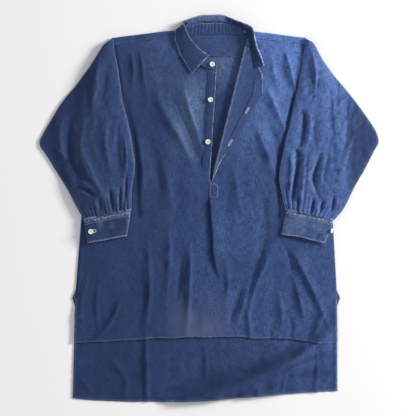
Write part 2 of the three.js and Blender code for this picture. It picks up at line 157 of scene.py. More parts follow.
def lapStep(x, y, points, height, width, fade=0.2):
    # a lapped edge along a path drawn downwards: flat on the left of it, up by height at once on its right,
    # then falling back as exp(-(d / width)^2); and how much painted shadow lies in the crease at its foot
    d, share = alongPath(x, y, points)
    d = -d
    ends = smooth(share / 0.06 + 0.3) * smooth((1 - share) / fade / 2.2)
    crease = np.exp(-(((d + 2.2) / np.where(d < -2.2, 5.0, 2.6)) ** 2)) * ends
    return height * smooth(d / 2.4 + 0.5) * np.exp(-((np.maximum(d, 0) / width) ** 2)) * ends, crease


def foldSum(x, y, folds):
    total = np.zeros_like(x)
    for one in folds:
        total += fold(x, y, *one)
    return total


def placed(name, mesh):  # an object for a mesh, in the scene
    piece = bpy.data.objects.new(name, mesh)
    bpy.context.collection.objects.link(piece)
    return piece


def dressMesh(mesh, flatUv, marks):
    # lays the cloth's flat coordinates in mm on a mesh, with how worn, faded and stained it is, and how much
    # painted light and painted shade it carries
    corner = np.zeros(len(mesh.loops), np.int32)
    mesh.loops.foreach_get("vertex_index", corner)
    layer = mesh.uv_layers.new(name="cloth")
    layer.data.foreach_set("uv", (flatUv[corner] * 0.001).astype(np.float32).ravel())
    for key in ("wear", "fade", "sun", "stain", "depth"):
        values = np.zeros(len(mesh.vertices), np.float32) + np.ravel(marks.get(key, 0))
        mesh.attributes.new(key, "FLOAT", "POINT").data.foreach_set("value", values.astype(np.float32))
    mesh.polygons.foreach_set("use_smooth", np.ones(len(mesh.polygons), bool))


def gridPiece(name, points, flatUv, marks, thickness, weld=False, skip=None):
    # points[row, column] in mm is the upper or outer face; the wall goes inward from it by thickness
    rows, cols = points.shape[:2]
    index = np.arange(rows * cols).reshape(rows, cols)
    quads = np.stack([index[:-1, :-1], index[:-1, 1:], index[1:, 1:], index[1:, :-1]], 2).reshape(-1, 4)
    if skip is not None:
        quads = quads[~skip.ravel()]
    mesh = bpy.data.meshes.new(name)
    mesh.from_pydata((points.reshape(-1, 3) * 0.001).tolist(), [], quads.tolist())
    marks = {key: np.broadcast_to(values, (rows, cols)) for key, values in marks.items()}
    dressMesh(mesh, flatUv.reshape(-1, 2), marks)
    piece = placed(name, mesh)
    tidy = bmesh.new()
    tidy.from_mesh(mesh)
    if weld:
        bmesh.ops.remove_doubles(tidy, verts=tidy.verts, dist=2e-5)
    loose = [v for v in tidy.verts if not v.link_faces]
    bmesh.ops.delete(tidy, geom=loose, context="VERTS")
    tidy.to_mesh(mesh)
    tidy.free()
    wall = piece.modifiers.new("cloth thickness", "SOLIDIFY")
    wall.thickness = thickness * 0.001
    wall.offset = -1
    wall.use_rim = True
    applyModifiers(piece)
    return piece


def applyModifiers(piece):
    scene = bpy.context.evaluated_depsgraph_get()
    final = bpy.data.meshes.new_from_object(piece.evaluated_get(scene))
    piece.modifiers.clear()
    old = piece.data
    piece.data = final
    bpy.data.meshes.remove(old)


def hollowMark(z, strength=0.9):  # 0 to 1 in furrows: the height field's Laplacian; as colour it darkens the furrows, painted shade
    bend = np.zeros_like(z)
    bend[1:-1, 1:-1] = z[2:, 1:-1] + z[:-2, 1:-1] + z[1:-1, 2:] + z[1:-1, :-2] - 4 * z[1:-1, 1:-1]
    return np.clip(bend / strength, 0, 1)


def crestMark(z, strength=0.9):  # 0 to 1 where it is crowned
    return hollowMark(-z, strength)


def colour(hexCode, alpha=1.0):  # sRGB hex to linear
    parts = [int(hexCode[i:i + 2], 16) / 255 for i in (0, 2, 4)]
    return [p / 12.92 if p <= 0.04045 else ((p + 0.055) / 1.055) ** 2.4 for p in parts] + [alpha]


def addNode(tree, kind, settings=None, **inputs):
    made = tree.nodes.new(kind)
    for key, value in (settings or {}).items():
        setattr(made, key, value)
    for key, value in inputs.items():
        socket = made.inputs[int(key[2:])] if key.startswith("in") else made.inputs[key.replace("_", " ")]
        if isinstance(value, bpy.types.NodeSocket):
            tree.links.new(value, socket)
        else:
            socket.default_value = value
    return made


def newMaterial(name):
    made = bpy.data.materials.new(name)
    made.use_nodes = True
    made.node_tree.nodes.clear()
    return made, made.node_tree


def finishMaterial(tree, shader):
    addNode(tree, "ShaderNodeOutputMaterial", Surface=shader.outputs[0])


def indigoCloth(name, deep, middle, worn, weave=0.0012):
    # Plain-woven indigo linen and cotton: slubby yarns both ways, dye washed off the raised places.
    # The real yarns are 0.4 mm apart; they are drawn 1.2 mm apart so that they show at this size.
    made, tree = newMaterial(name)
    uv = addNode(tree, "ShaderNodeUVMap", {"uv_map": "cloth"}).outputs[0]
    noise = {}
    for key, scaleX, scaleY, detail, shift in (
        ("warp", 1 / weave, 1 / (weave * 14), 2.0, 3.1),  # yarns along the cloth, thick and thin
        ("weft", 1 / (weave * 11), 1 / weave, 2.0, 7.7),  # and across it
        ("mottle", 60, 45, 4.0, 1.3),  # uneven dye, patches of 10 to 25 mm
        ("broad", 9, 6, 2.0, 5.9),  # fading over hand-sized areas
    ):
        moved = addNode(tree, "ShaderNodeMapping", Vector=uv, Location=(shift, shift * 0.7, 0),
                        Scale=(scaleX, scaleY, 1))
        noise[key] = addNode(tree, "ShaderNodeTexNoise", {"noise_dimensions": "2D"}, Vector=moved.outputs[0],
                             Scale=1.0, Detail=detail, Roughness=0.6).outputs[0]
    weftPart = addNode(tree, "ShaderNodeMath", {"operation": "MULTIPLY"}, in0=noise["weft"], in1=0.45)
    yarns = addNode(tree, "ShaderNodeMath", {"operation": "MULTIPLY_ADD"}, in0=noise["warp"], in1=0.55,
                    in2=weftPart.outputs[0]).outputs[0]
    noise["yarns"] = yarns
    shown = {}
    for key, source, low, high in (("yarns", "yarns", 0.36, 0.64), ("mottle", "mottle", 0.35, 0.72),
                                   ("broad", "broad", 0.4, 0.75), ("soaked", "broad", 0.2, 0.55),
                                   ("slubs", "yarns", 0.38, 0.6)):
        spread = addNode(tree, "ShaderNodeMapRange", {"interpolation_type": "SMOOTHSTEP"},
                         Value=noise[source], From_Min=low, From_Max=high)
        shown[key] = spread.outputs[0]
    for key in ("wear", "fade", "sun", "stain", "depth"):
        shown[key] = addNode(tree, "ShaderNodeAttribute", {"attribute_name": key}).outputs["Fac"]
    slubs = addNode(tree, "ShaderNodeMath", {"operation": "ADD"}, in0=shown["slubs"], in1=0.25)
    shown["rubbed"] = addNode(tree, "ShaderNodeMath", {"operation": "MULTIPLY"}, in0=shown["wear"],
                              in1=slubs.outputs[0]).outputs[0]
    shown["soaked"] = addNode(tree, "ShaderNodeMath", {"operation": "MULTIPLY"}, in0=shown["stain"],
                              in1=shown["soaked"]).outputs[0]
    tones = {"deep": colour(deep), "middle": colour(middle)}
    # the painted light mark moves each blue towards a lighter lit tone, then fading moves it towards a washed
    # tone
    for key, sunned, faded in (("deep", "2f4a86", "425b7e"), ("middle", "6b8bcc", "86a2c6")):
        litMix = addNode(tree, "ShaderNodeMix", {"data_type": "RGBA"}, in0=shown["sun"], in6=tones[key],
                         in7=colour(sunned))
        washed = addNode(tree, "ShaderNodeMix", {"data_type": "RGBA"}, in0=shown["fade"],
                         in6=litMix.outputs[2], in7=colour(faded))
        tones[key + "Worn"] = washed.outputs[2]
    base = tones["deepWorn"]
    # the painted shade mark moves the colour towards the deep blue, as painted shade
    for key, strength, tone in (
        ("yarns", 1.0, tones["middleWorn"]), ("mottle", 0.45, tones["middleWorn"]),
        ("broad", 0.35, tones["deepWorn"]), ("depth", 0.75, tones["deep"]), ("soaked", 1.0, colour("4f587a")),
        ("rubbed", 1.0, colour(worn)),
    ):
        amount = addNode(tree, "ShaderNodeMath", {"operation": "MULTIPLY", "use_clamp": True}, in0=shown[key],
                         in1=strength)
        base = addNode(tree, "ShaderNodeMix", {"data_type": "RGBA"}, in0=amount.outputs[0], in6=base,
                       in7=tone).outputs[2]
    bumpFine = addNode(tree, "ShaderNodeBump", {}, Height=yarns, Strength=0.35, Distance=0.0006)
    bumpBroad = addNode(tree, "ShaderNodeBump", {}, Height=noise["mottle"], Strength=0.3, Distance=0.0015,
                        Normal=bumpFine.outputs[0])
    shader = addNode(tree, "ShaderNodeBsdfPrincipled", {}, Base_Color=base, Roughness=0.88,
                     Normal=bumpBroad.outputs[0], Sheen_Weight=0.25, Sheen_Roughness=0.5,
                     Sheen_Tint=colour("8ea2c8"), Specular_IOR_Level=0.25)
    finishMaterial(tree, shader)
    return made


def waxedThread(name, pale, dark):
    # Twisted linen sewing thread: matt, a little uneven along its length.
    made, tree = newMaterial(name)
    place = addNode(tree, "ShaderNodeTexCoord").outputs["Object"]
    speck = addNode(tree, "ShaderNodeTexNoise", {}, Vector=place, Scale=900.0, Detail=2.0).outputs[0]
    tone = addNode(tree, "ShaderNodeMix", {"data_type": "RGBA"}, in0=speck)
    tone.inputs[6].default_value = colour(pale)
    tone.inputs[7].default_value = colour(dark)
    bump = addNode(tree, "ShaderNodeBump", {}, Height=speck, Strength=0.3, Distance=0.0002)
    shader = addNode(tree, "ShaderNodeBsdfPrincipled", {}, Base_Color=tone.outputs[2], Roughness=0.8,
                     Normal=bump.outputs[0])
    finishMaterial(tree, shader)
    return made


def polishedShell(name):
    # Turned and polished shell button: creamy white, softly clouded, with a clear gloss.
    made, tree = newMaterial(name)
    place = addNode(tree, "ShaderNodeTexCoord").outputs["Object"]
    cloud = addNode(tree, "ShaderNodeTexNoise", {}, Vector=place, Scale=260.0, Detail=3.0,
                    Distortion=1.2).outputs[0]
    tone = addNode(tree, "ShaderNodeMix", {"data_type": "RGBA"}, in0=cloud)
    tone.inputs[6].default_value = colour("f6f3ea")
    tone.inputs[7].default_value = colour("ddd8cc")
    bump = addNode(tree, "ShaderNodeBump", {}, Height=cloud, Strength=0.08, Distance=0.0003)
    shader = addNode(tree, "ShaderNodeBsdfPrincipled", {}, Base_Color=tone.outputs[2], Roughness=0.28,
                     Normal=bump.outputs[0], Coat_Weight=0.5, Coat_Roughness=0.12)
    finishMaterial(tree, shader)
    return made


def paleTable(name):
    # A matt painted table top.
    made, tree = newMaterial(name)
    place = addNode(tree, "ShaderNodeTexCoord").outputs["Object"]
    grain = addNode(tree, "ShaderNodeTexNoise", {}, Vector=place, Scale=300.0, Detail=2.0).outputs[0]
    bump = addNode(tree, "ShaderNodeBump", {}, Height=grain, Strength=0.05, Distance=0.0003)
    shader = addNode(tree, "ShaderNodeBsdfPrincipled", {}, Base_Color=colour("faf9f8"), Roughness=0.7,
                     Normal=bump.outputs[0])
    finishMaterial(tree, shader)
    return made


bodyCloth = indigoCloth("indigo plain weave", "1d2d52", "3b5384", "a9b7cd")
facingCloth = indigoCloth("indigo plain weave, turned side", "293c66", "4b6391", "b4c0d2")
creamThread = waxedThread("ecru linen thread", "dcdad4", "aaa9a8")
blueThread = waxedThread("washed blue thread", "6f82a8", "46598a")
shell = polishedShell("polished shell")


def dress(piece, material):
    piece.data.materials.clear()
    piece.data.materials.append(material)


def clothPiece(piece, body, nodes, material=None):
    dress(piece, material or bodyCloth)
    if body:
        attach(piece, body)
    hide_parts(*nodes)
    return piece


stitchRuns = {}


def stitch(group, path, pitch=3.2, radius=0.33, share=0.62, lift=0.12):
    # a row of stitches along a path in mm that lies on the cloth
    even = evenPath(np.array(path, float), pitch)
    if len(even) < 2:
        return
    ahead = np.gradient(even, axis=0)
    ahead /= np.linalg.norm(ahead, axis=1)[:, None]
    half, thick = np.full(len(even), pitch * share / 2), np.full(len(even), radius)
    stitchRuns.setdefault(group, []).append((even + [0, 0, lift], ahead, half, thick))


def stitchObject(name, group, body, material):
    # every stitch is a small spindle: rings of five at -1, 0 and 1 half-lengths, closed by two end points
    centre, ahead, half, radius = (np.concatenate(parts) for parts in zip(*stitchRuns[group]))
    side = np.cross(ahead, [0, 0, 1.0])
    side /= np.maximum(np.linalg.norm(side, axis=1), 1e-6)[:, None]
    up = np.cross(side, ahead)
    angle = np.arange(5) * 2 * np.pi / 5
    verts = []
    for place, swell in ((-0.75, 0.7), (0.0, 1.0), (0.75, 0.7)):
        middle = centre + ahead * (half * place)[:, None]
        ring = side[:, None] * np.cos(angle)[None, :, None] + up[:, None] * np.sin(angle)[None, :, None]
        verts.append(middle[:, None] + ring * (radius * swell)[:, None, None])
    tips = [centre - ahead * half[:, None] - up * (radius * 0.8)[:, None],
            centre + ahead * half[:, None] - up * (radius * 0.8)[:, None]]
    block = np.concatenate(verts + [tip[:, None] for tip in tips], 1)  # (stitches, 17, 3)
    k = np.arange(5)
    nxt = (k + 1) % 5
    quads = [np.stack([k + 5 * r, nxt + 5 * r, nxt + 5 * r + 5, k + 5 * r + 5], 1) for r in (0, 1)]
    caps = [np.stack([nxt, k, np.full(5, 15)], 1), np.stack([k + 10, nxt + 10, np.full(5, 16)], 1)]
    faces = []
    for start in range(0, len(block) * 17, 17):
        faces += (np.concatenate(quads) + start).tolist() + (np.concatenate(caps) + start).tolist()
    mesh = bpy.data.meshes.new(name)
    mesh.from_pydata((block.reshape(-1, 3) * 0.001).tolist(), [], faces)
    mesh.polygons.foreach_set("use_smooth", np.ones(len(mesh.polygons), bool))
    tidy = bmesh.new()
    tidy.from_mesh(mesh)
    bmesh.ops.recalc_face_normals(tidy, faces=tidy.faces)
    tidy.to_mesh(mesh)
    tidy.free()
    piece = placed(name, mesh)
    dress(piece, material)
    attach(piece, body)
    return piece


backSheet = {
    "pitch": 5.0,
    "rest": 1.0,  # upper face above the table
    # how far the hem rises, in mm, at shares of its width
    "hem": [(0.0, 8), (0.09, 2), (0.3, -1), (0.5, 3), (0.72, 14), (0.88, 23), (1.0, 26)],
    # ends and bends of each fold in shares of the whole back's width and of the tail's length below the front
    "folds": [
        ([(0.99, 1.32), (0.87, 0.84), (0.72, 0.52), (0.54, 0.22), (0.33, -0.12)], 14, 30, -0.5, 0.08),
        ([(0.8, 0.78), (0.66, 0.5), (0.5, 0.27), (0.34, 0.1)], -5, 14, 0.0, 0.2),
        ([(0.97, 0.95), (0.86, 0.75), (0.7, 0.42)], 4, 9, 0.2, 0.3),
        ([(0.28, 1.2), (0.282, 0.5), (0.285, -0.1)], 4.6, 6, 0.4, 0.1),
        ([(0.2, 0.5), (0.205, 0.25), (0.19, 0.0)], 2.6, 6, 0.3, 0.3),
        ([(0.13, 0.85), (0.17, 0.6), (0.21, 0.35)], 2.4, 9, 0.2, 0.3),
        ([(0.5, 1.05), (0.505, 0.6), (0.5, 0.1)], 2.0, 6, 0.0, 0.2),
        ([(0.925, 0.95), (0.925, 0.5), (0.915, -0.05)], 2.4, 3.5, 0.2, 0.15),
        ([(0.7, 0.3), (0.702, 0.15), (0.7, 0.0)], 2.4, 4, 0.2, 0.3),
        ([(0.81, 0.55), (0.8, 0.3), (0.79, 0.05)], 2.4, 5, 0.2, 0.3),
        ([(0.02, 0.45), (0.05, 0.3), (0.08, 0.12)], 2.2, 5, 0.2, 0.3),
    ],
}


def tailSpot(shareX, shareY):
    left, right = backLow[0], backHigh[0]
    return (left + (right - left) * shareX, backHemY + (tailLow[1] - backHemY) * shareY)


backFolds = [([tailSpot(*p) for p in path], *rest) for path, *rest in backSheet["folds"]]


def backTop(x, y):
    free = smooth((tailLow[1] + 40 - y) / 60)  # free of the front's weight
    wave = 1.1 * clouds(x, y, 46, 90, 11) + 0.7 * clouds(x, y, 17, 60, 12) + 0.3 * clouds(x, y, 11, 14, 13)
    lift = 1.7 * np.maximum(foldSum(x, y, backFolds), -0.4) * smooth((tailLow[1] + 75 - y) / 70)
    return np.maximum(backSheet["rest"] + (0.25 + 0.75 * free) * np.maximum(wave + 0.6, 0) + lift, 0.9)


def makeBack():
    rows = 175
    across = np.linspace(0, 1, 134)[None, :]
    hem = backHemY + np.interp(across, *zip(*backSheet["hem"]))
    hem = hem + 0.8 * clouds(across * 660, 0 * across, 40, 40, 14)
    down = np.linspace(0, 1, rows)[:, None]
    y = hem + (yokeSeamY - hem) * down
    left, right = sideAt(-1, y), sideAt(1, y)
    x = left + (right - left) * across
    z = backTop(x, y)
    toEdge = np.minimum(np.minimum((x - left), (right - x)), y - hem)
    hemBand = 1 - smooth((toEdge - 6) / 2)
    below = smooth((ventY + 10 - y) / 30)
    inNeck = 1 - smooth(np.hypot((x - 35) / 80, (y - 370) / 110))  # the washed inside seen through the neck
    z = z + 0.7 * hemBand * below + 0.35 * hemBand * below * np.sin(x / 2.4 + y / 2.9)
    marks = {
        "wear": np.clip(0.35 * (1 - smooth(toEdge / 3)) * below, 0, 1),
        # painted shade over the whole back, more to the left, in its furrows and along the broad valley fold;
        # painted light towards the right
        "depth": np.clip(hollowMark(z) * 0.5 + (0.32 + 0.6 * smooth((60 - x) / 300)) * (1 - inNeck)
                         + 0.12 * fold(x, y, backFolds[1][0], 8, 22, 0.0, 0.2), 0, 1),
        "sun": 0.3 * smooth((x - 80) / 200),
        "fade": 0.35 * inNeck,
    }
    piece = gridPiece("back", np.stack([x, y, z], 2), np.stack([x, y], 2), marks, 0.8)
    clothPiece(piece, None, ["back_panel", "back_tail"])
    foldY = backHigh[1]
    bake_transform(piece)
    inset = 5.0
    row = x[0] * (1 - 2 * inset / 660)
    hemLine = np.stack([row, hem[0] + inset, backTop(row, hem[0] + inset) + 0.7], 1)
    stitch("back_tail", hemLine)
    for side in (-1, 1):
        ys = np.linspace(backHemY + 30, foldY - 28, 40)
        xs = sideAt(side, ys) - side * inset
        stitch("back_tail", np.stack([xs, ys, backTop(xs, ys) + 0.7], 1))


def sunAt(x, y):  # painted light: lighter towards the right shoulder and along the shoulders, on the side the lamp stands
    return (0.72 * smooth((x + 10) / 190) * smooth((y - 60) / 260) + 0.1 * smooth((x + 60) / 200)
            + 0.3 * smooth((y - 345) / 60))


def depthAt(x):  # painted shade: darker towards the left, the side away from the lamp
    return 0.7 * smooth((40 - x) / 260)


slitFoot = np.array([5.0, 62.0])


def jointSpot(name):
    joint = next(j for j in frame["joints"] if j["name"] == name)
    return np.array(joint["pos_m"]) * 1000, np.array(joint["axis"])


foldFoot, foldAxis = jointSpot("lapel_fold")
foldFoot = foldFoot[:2]
foldRun = -foldAxis[:2] / np.linalg.norm(foldAxis[:2])
foldLength = 342.0
foldHead = foldFoot + foldRun * foldLength

frontSheet = {
    "rest": frontTop,
    # in shares of the front's box, from the hem up to the shoulders
    "folds": [
        ([(0.21, 0.97), (0.225, 0.9), (0.22, 0.82)], 3.0, 6, 0.2, 0.3),
        ([(0.25, 0.97), (0.26, 0.9), (0.275, 0.8)], 2.6, 6, 0.2, 0.3),
        ([(0.165, 0.96), (0.18, 0.86), (0.2, 0.7)], 3.2, 9, 0.2, 0.3),
        ([(0.3, 0.9), (0.33, 0.78), (0.41, 0.66), (0.47, 0.52)], 5.2, 15, 0.2, 0.3),
        ([(0.41, 0.86), (0.44, 0.76), (0.5, 0.6)], 5.0, 12, 0.2, 0.3),
        ([(0.36, 0.84), (0.41, 0.72), (0.49, 0.57)], -3.4, 12, 0.0, 0.3),
        ([(0.235, 0.7), (0.255, 0.56), (0.24, 0.42)], 4.6, 13, -0.2, 0.3),
        ([(0.285, 0.68), (0.31, 0.58), (0.335, 0.46)], -3.0, 13, 0.0, 0.3),
        ([(0.33, 0.62), (0.36, 0.5), (0.37, 0.4)], 3.4, 16, 0.2, 0.35),
        ([(0.28, 0.36), (0.287, 0.18), (0.268, 0.0)], 5.0, 8, 0.35, 0.25),
        ([(0.355, 0.4), (0.362, 0.28), (0.345, 0.1)], 3.6, 10, 0.2, 0.3),
        ([(0.44, 0.35), (0.442, 0.26), (0.437, 0.15), (0.425, 0.0)], 6.0, 9, 0.45, 0.25),
        ([(0.41, 0.3), (0.4, 0.2), (0.385, 0.12)], -3.2, 7, 0.0, 0.3),
        ([(0.18, 0.15), (0.14, 0.07), (0.07, 0.0)], 5.4, 9, 0.35, 0.25),
        ([(0.06, 0.26), (0.03, 0.15), (0.02, 0.03)], 3.2, 9, 0.2, 0.3),
        ([(0.1, 0.22), (0.085, 0.12), (0.1, 0.02)], 2.4, 7, 0.2, 0.3),
        ([(0.8, 0.97), (0.82, 0.9), (0.85, 0.8)], 5.0, 8, 0.2, 0.3),
        ([(0.87, 0.96), (0.878, 0.9), (0.88, 0.82)], 4.0, 6, 0.2, 0.3),
        ([(0.75, 0.96), (0.76, 0.88), (0.79, 0.8)], 3.0, 8, 0.2, 0.3),
        ([(0.72, 0.86), (0.765, 0.77), (0.82, 0.66)], 5.2, 13, 0.2, 0.3),
        ([(0.68, 0.73), (0.73, 0.63), (0.76, 0.54)], 5.4, 14, 0.1, 0.3),
        ([(0.73, 0.74), (0.775, 0.64), (0.79, 0.56)], -3.6, 11, 0.0, 0.3),
        ([(0.6, 0.6), (0.62, 0.5), (0.625, 0.42)], 2.8, 12, 0.2, 0.3),
        ([(0.72, 0.5), (0.724, 0.38), (0.69, 0.24), (0.65, 0.12)], -4.2, 13, 0.0, 0.3),
        ([(0.78, 0.36), (0.72, 0.25), (0.672, 0.14), (0.655, 0.02)], 5.4, 13, 0.35, 0.25),
        ([(0.57, 0.3), (0.585, 0.2), (0.57, 0.1)], 3.2, 9, 0.2, 0.3),
        ([(0.645, 0.2), (0.61, 0.12), (0.585, 0.06)], -4.4, 6, 0.0, 0.3),
        ([(0.665, 0.2), (0.64, 0.12), (0.61, 0.04)], 3.4, 7, 0.3, 0.3),
        ([(0.8, 0.33), (0.82, 0.27), (0.83, 0.22)], -3.4, 4, 0.0, 0.3),
        ([(0.82, 0.32), (0.87, 0.236), (0.92, 0.147), (0.975, 0.04)], 6.2, 10, -0.3, 0.25),
        ([(0.83, 0.24), (0.86, 0.14), (0.88, 0.05)], 4.4, 6, 0.2, 0.3),
        ([(0.77, 0.2), (0.79, 0.1), (0.785, 0.01)], 3.4, 9, 0.2, 0.3),
        ([(0.824, 0.09), (0.826, 0.05), (0.824, 0.0)], -5.0, 4, 0.0, 0.3),
        ([(0.75, 0.07), (0.747, 0.03), (0.745, 0.0)], -3.6, 4, 0.0, 0.3),
        ([(0.66, 0.1), (0.667, 0.05), (0.67, 0.0)], 3.0, 6, 0.0, 0.3),
        ([(0.96, 0.13), (0.93, 0.06), (0.9, 0.01)], 4.0, 8, 0.2, 0.3),
    ],
    "pleat": [(0.512, 0.474), (0.518, 0.414), (0.5236, 0.35), (0.526, 0.295), (0.538, 0.24), (0.565, 0.185)],
}


def frontSpot(shareX, shareY):
    low, high = tailLow, frontHigh
    return (frontLow[0] + (frontHigh[0] - frontLow[0]) * shareX, low[1] + (high[1] - low[1]) * shareY)


frontFolds = [([frontSpot(*p) for p in path], *rest) for path, *rest in frontSheet["folds"]]
pleatLine = [frontSpot(*p) for p in frontSheet["pleat"]]


def slitEdges(y):
    # inner edges of the left and right fronts at a height: the slit, then the neckline
    leftY = [slitFoot[1], 78, 349, 358, 382, 413, 428]
    leftXs = [slitFoot[0], 2, 19, -12, -43, -60, -66]
    rightY = [slitFoot[1], foldFoot[1], foldHead[1], 428]
    rightXs = [slitFoot[0], foldFoot[0], foldHead[0], 97]
    return np.interp(y, leftY, leftXs), np.interp(y, rightY, rightXs)


def underSleeve(y):  # how far out each sleeve's inner fold lies
    return np.interp(y, [-95, -3, 100, 165, 290, 424], [172, 176, 172, 184, 214, 240])


def frontSurface(x, y):
    # upper face of the front: level, falling to the seams at the sides above the vents
    middle = (sideAt(-1, y) + sideAt(1, y)) / 2
    half = (sideAt(1, y) - sideAt(-1, y)) / 2
    across = np.clip(np.abs(x - middle) / half, 0, 1)
    seamed = smooth((armpitY - y) / 60) * smooth((y - ventY) / 60 + 1)
    slope = across ** 9
    hemward = smooth((ventY - y) / 90)
    rest = frontSheet["rest"] - 5.2 * slope * seamed - 2.6 * hemward
    wave = 1.5 * clouds(x, y, 60, 150, 21) + 0.9 * clouds(x, y, 24, 80, 22) + 0.35 * clouds(x, y, 12, 18, 23)
    wave = wave + 1.55 * foldSum(x, y, frontFolds)
    left, right = slitEdges(y)
    near = np.minimum(np.abs(x - left), np.abs(x - right))
    calm = smooth((near - 6) / 30 + 0.15) * smooth((shoulderLine(x) - 18 - y) / 26)
    calm = np.where(y < slitFoot[1] - 45, smooth((shoulderLine(x) - 18 - y) / 26), calm)
    covered = smooth((np.abs(x) - underSleeve(y)) / 14) * smooth((y + 100) / 14)
    wave = wave * np.where(y > slitFoot[1] - 45, calm, 1) * (1 - 0.8 * slope * seamed) * (1 - covered)
    wave = np.where(wave < 0, np.maximum(wave, -3.6), wave)
    gap = np.exp(-(((np.abs(x) - underSleeve(y)) / 5) ** 2)) * smooth((y + 30) / 20) * smooth((330 - y) / 60)
    wave = wave + lapStep(x, y, pleatLine, 7.5, 26)[0] - 3.4 * gap
    over = np.maximum(backTop(x, y) - backSheet["rest"] - 1.5, 0)
    return np.maximum(rest + wave + over * smooth((ventY + 20 - y) / 60), backTop(x, y) + 1.7)


def frontHem(across):
    return tailLow[1] + 15 * (1 - (2 * across - 1) ** 2) + 2.4 * clouds(across * 660, 0 * across, 42, 45, 24)


def makeFront():
    halfCols = 84
    down = np.linspace(0, 1, 196)[:, None]
    halves = []
    for side in (-1, 1):
        t = np.linspace(0, 1, halfCols)[None, :]
        outerShare = (t if side > 0 else 1 - t) ** 1.4  # 0 at the slit, 1 at the side seam
        across = 0.5 + side * outerShare / 2
        hem = frontHem(across)
        y = hem + (shoulderY - 18.5 - hem) * down
        for _ in range(2):  # the top edge follows the shoulder line, which depends on x
            inner = slitEdges(y)[0 if side < 0 else 1]
            inner = np.where(y < slitFoot[1], slitFoot[0], inner)
            outer = sideAt(side, y)
            x = inner + (outer - inner) * outerShare
            top = shoulderLine(x) - 18.5
            y = hem + (top - hem) * down
        halves.append((x, y, hem + 0 * y))
    x, y, hem = (np.concatenate(pair, 1) for pair in zip(*halves))
    z = frontSurface(x, y)
    left, right = sideAt(-1, y), sideAt(1, y)
    toSide = np.minimum(x - left, right - x)
    toHem = y - hem
    below = smooth((ventY + 6 - y) / 20)
    hemBand = np.maximum(1 - smooth((toHem - 5) / 2), (1 - smooth((toSide - 5) / 2)) * below)
    z = z + 0.6 * hemBand + 0.35 * hemBand * np.sin(x / 2.3 + y / 2.7)
    inner = np.minimum(np.abs(x - slitEdges(y)[0]), np.abs(x - slitEdges(y)[1]))
    spot = np.hypot((x + 8) / 125, (y + 285) / 85)
    fadeSpot = np.hypot((x + 45 - 0.12 * (y - 260)) / 62, (y - 235) / 130)
    fadeWide = np.hypot((x - 190) / 190, (y - 130) / 300)
    marks = {
        "wear": np.clip(0.3 * (1 - smooth(toHem / 3)) + 0.35 * (1 - smooth(toSide / 3)) * below
                        + 0.4 * (1 - smooth(inner / 3)) * (y > slitFoot[1] - 2), 0, 1),
        # painted shade in the furrows, towards the left, in the pleat's crease and along the sleeves' inner
        # folds; painted light towards the right shoulder
        "depth": np.clip(hollowMark(z) * 0.4 + depthAt(x) + 1.5 * lapStep(x, y, pleatLine, 0, 26)[1]
                         + 0.9 * np.exp(-(((np.abs(x) - underSleeve(y)) / 6) ** 2)) * (y > -20), 0, 1.4),
        "fade": np.clip(0.55 * (1 - smooth(fadeSpot * 0.85)) * (x < 20) + 0.06 * (1 - smooth(fadeWide))
                        + 0.22 * (1 - smooth(np.hypot((x + 140) / 90, (y - 330) / 110))), 0, 1),
        "sun": sunAt(x, y),
        "stain": np.clip(0.95 * (1 - smooth(spot * 0.85)), 0, 1),
    }
    skip = np.zeros((x.shape[0] - 1, x.shape[1] - 1), bool)
    skip[:, halfCols - 1] = True  # open along the slit; below it the halves meet and are welded
    piece = gridPiece("front", np.stack([x, y, z], 2), np.stack([x, y], 2), marks, 0.9, weld=True, skip=skip)
    clothPiece(piece, None, ["front_panel", "front_tail"])
    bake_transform(piece)
    xs = np.linspace(tailLow[0] + 6, tailHigh[0] - 6, 300)
    ys = frontHem((xs - tailLow[0]) / (tailHigh[0] - tailLow[0])) + 4.5
    stitch("front_tail", np.stack([xs, ys, frontSurface(xs, ys) + 0.6], 1))
    for side in (-1, 1):
        ys = np.linspace(tailLow[1] + 8, ventY - 32, 40)
        xs = sideAt(side, ys) - side * 4.5
        stitch("front_tail", np.stack([xs, ys, frontSurface(xs, ys) + 0.6], 1))
        ys = np.linspace(ventY + 14, armpitY - 6, 200)
        for inset in (9.0, 14.5):
            xs = sideAt(side, ys) - side * inset
            stitch("body", np.stack([xs, ys, frontSurface(xs, ys) + 0.1], 1))


print("cloth grids: back and front")
makeBack()
makeFront()

sleeveLow, sleeveHigh = corners("upper_sleeve_right")
lowerLow = corners("lower_sleeve_right")[0]
sleeveX = (sleeveLow[0], sleeveHigh[0])
sleeveY = (lowerLow[1], sleeveHigh[1])

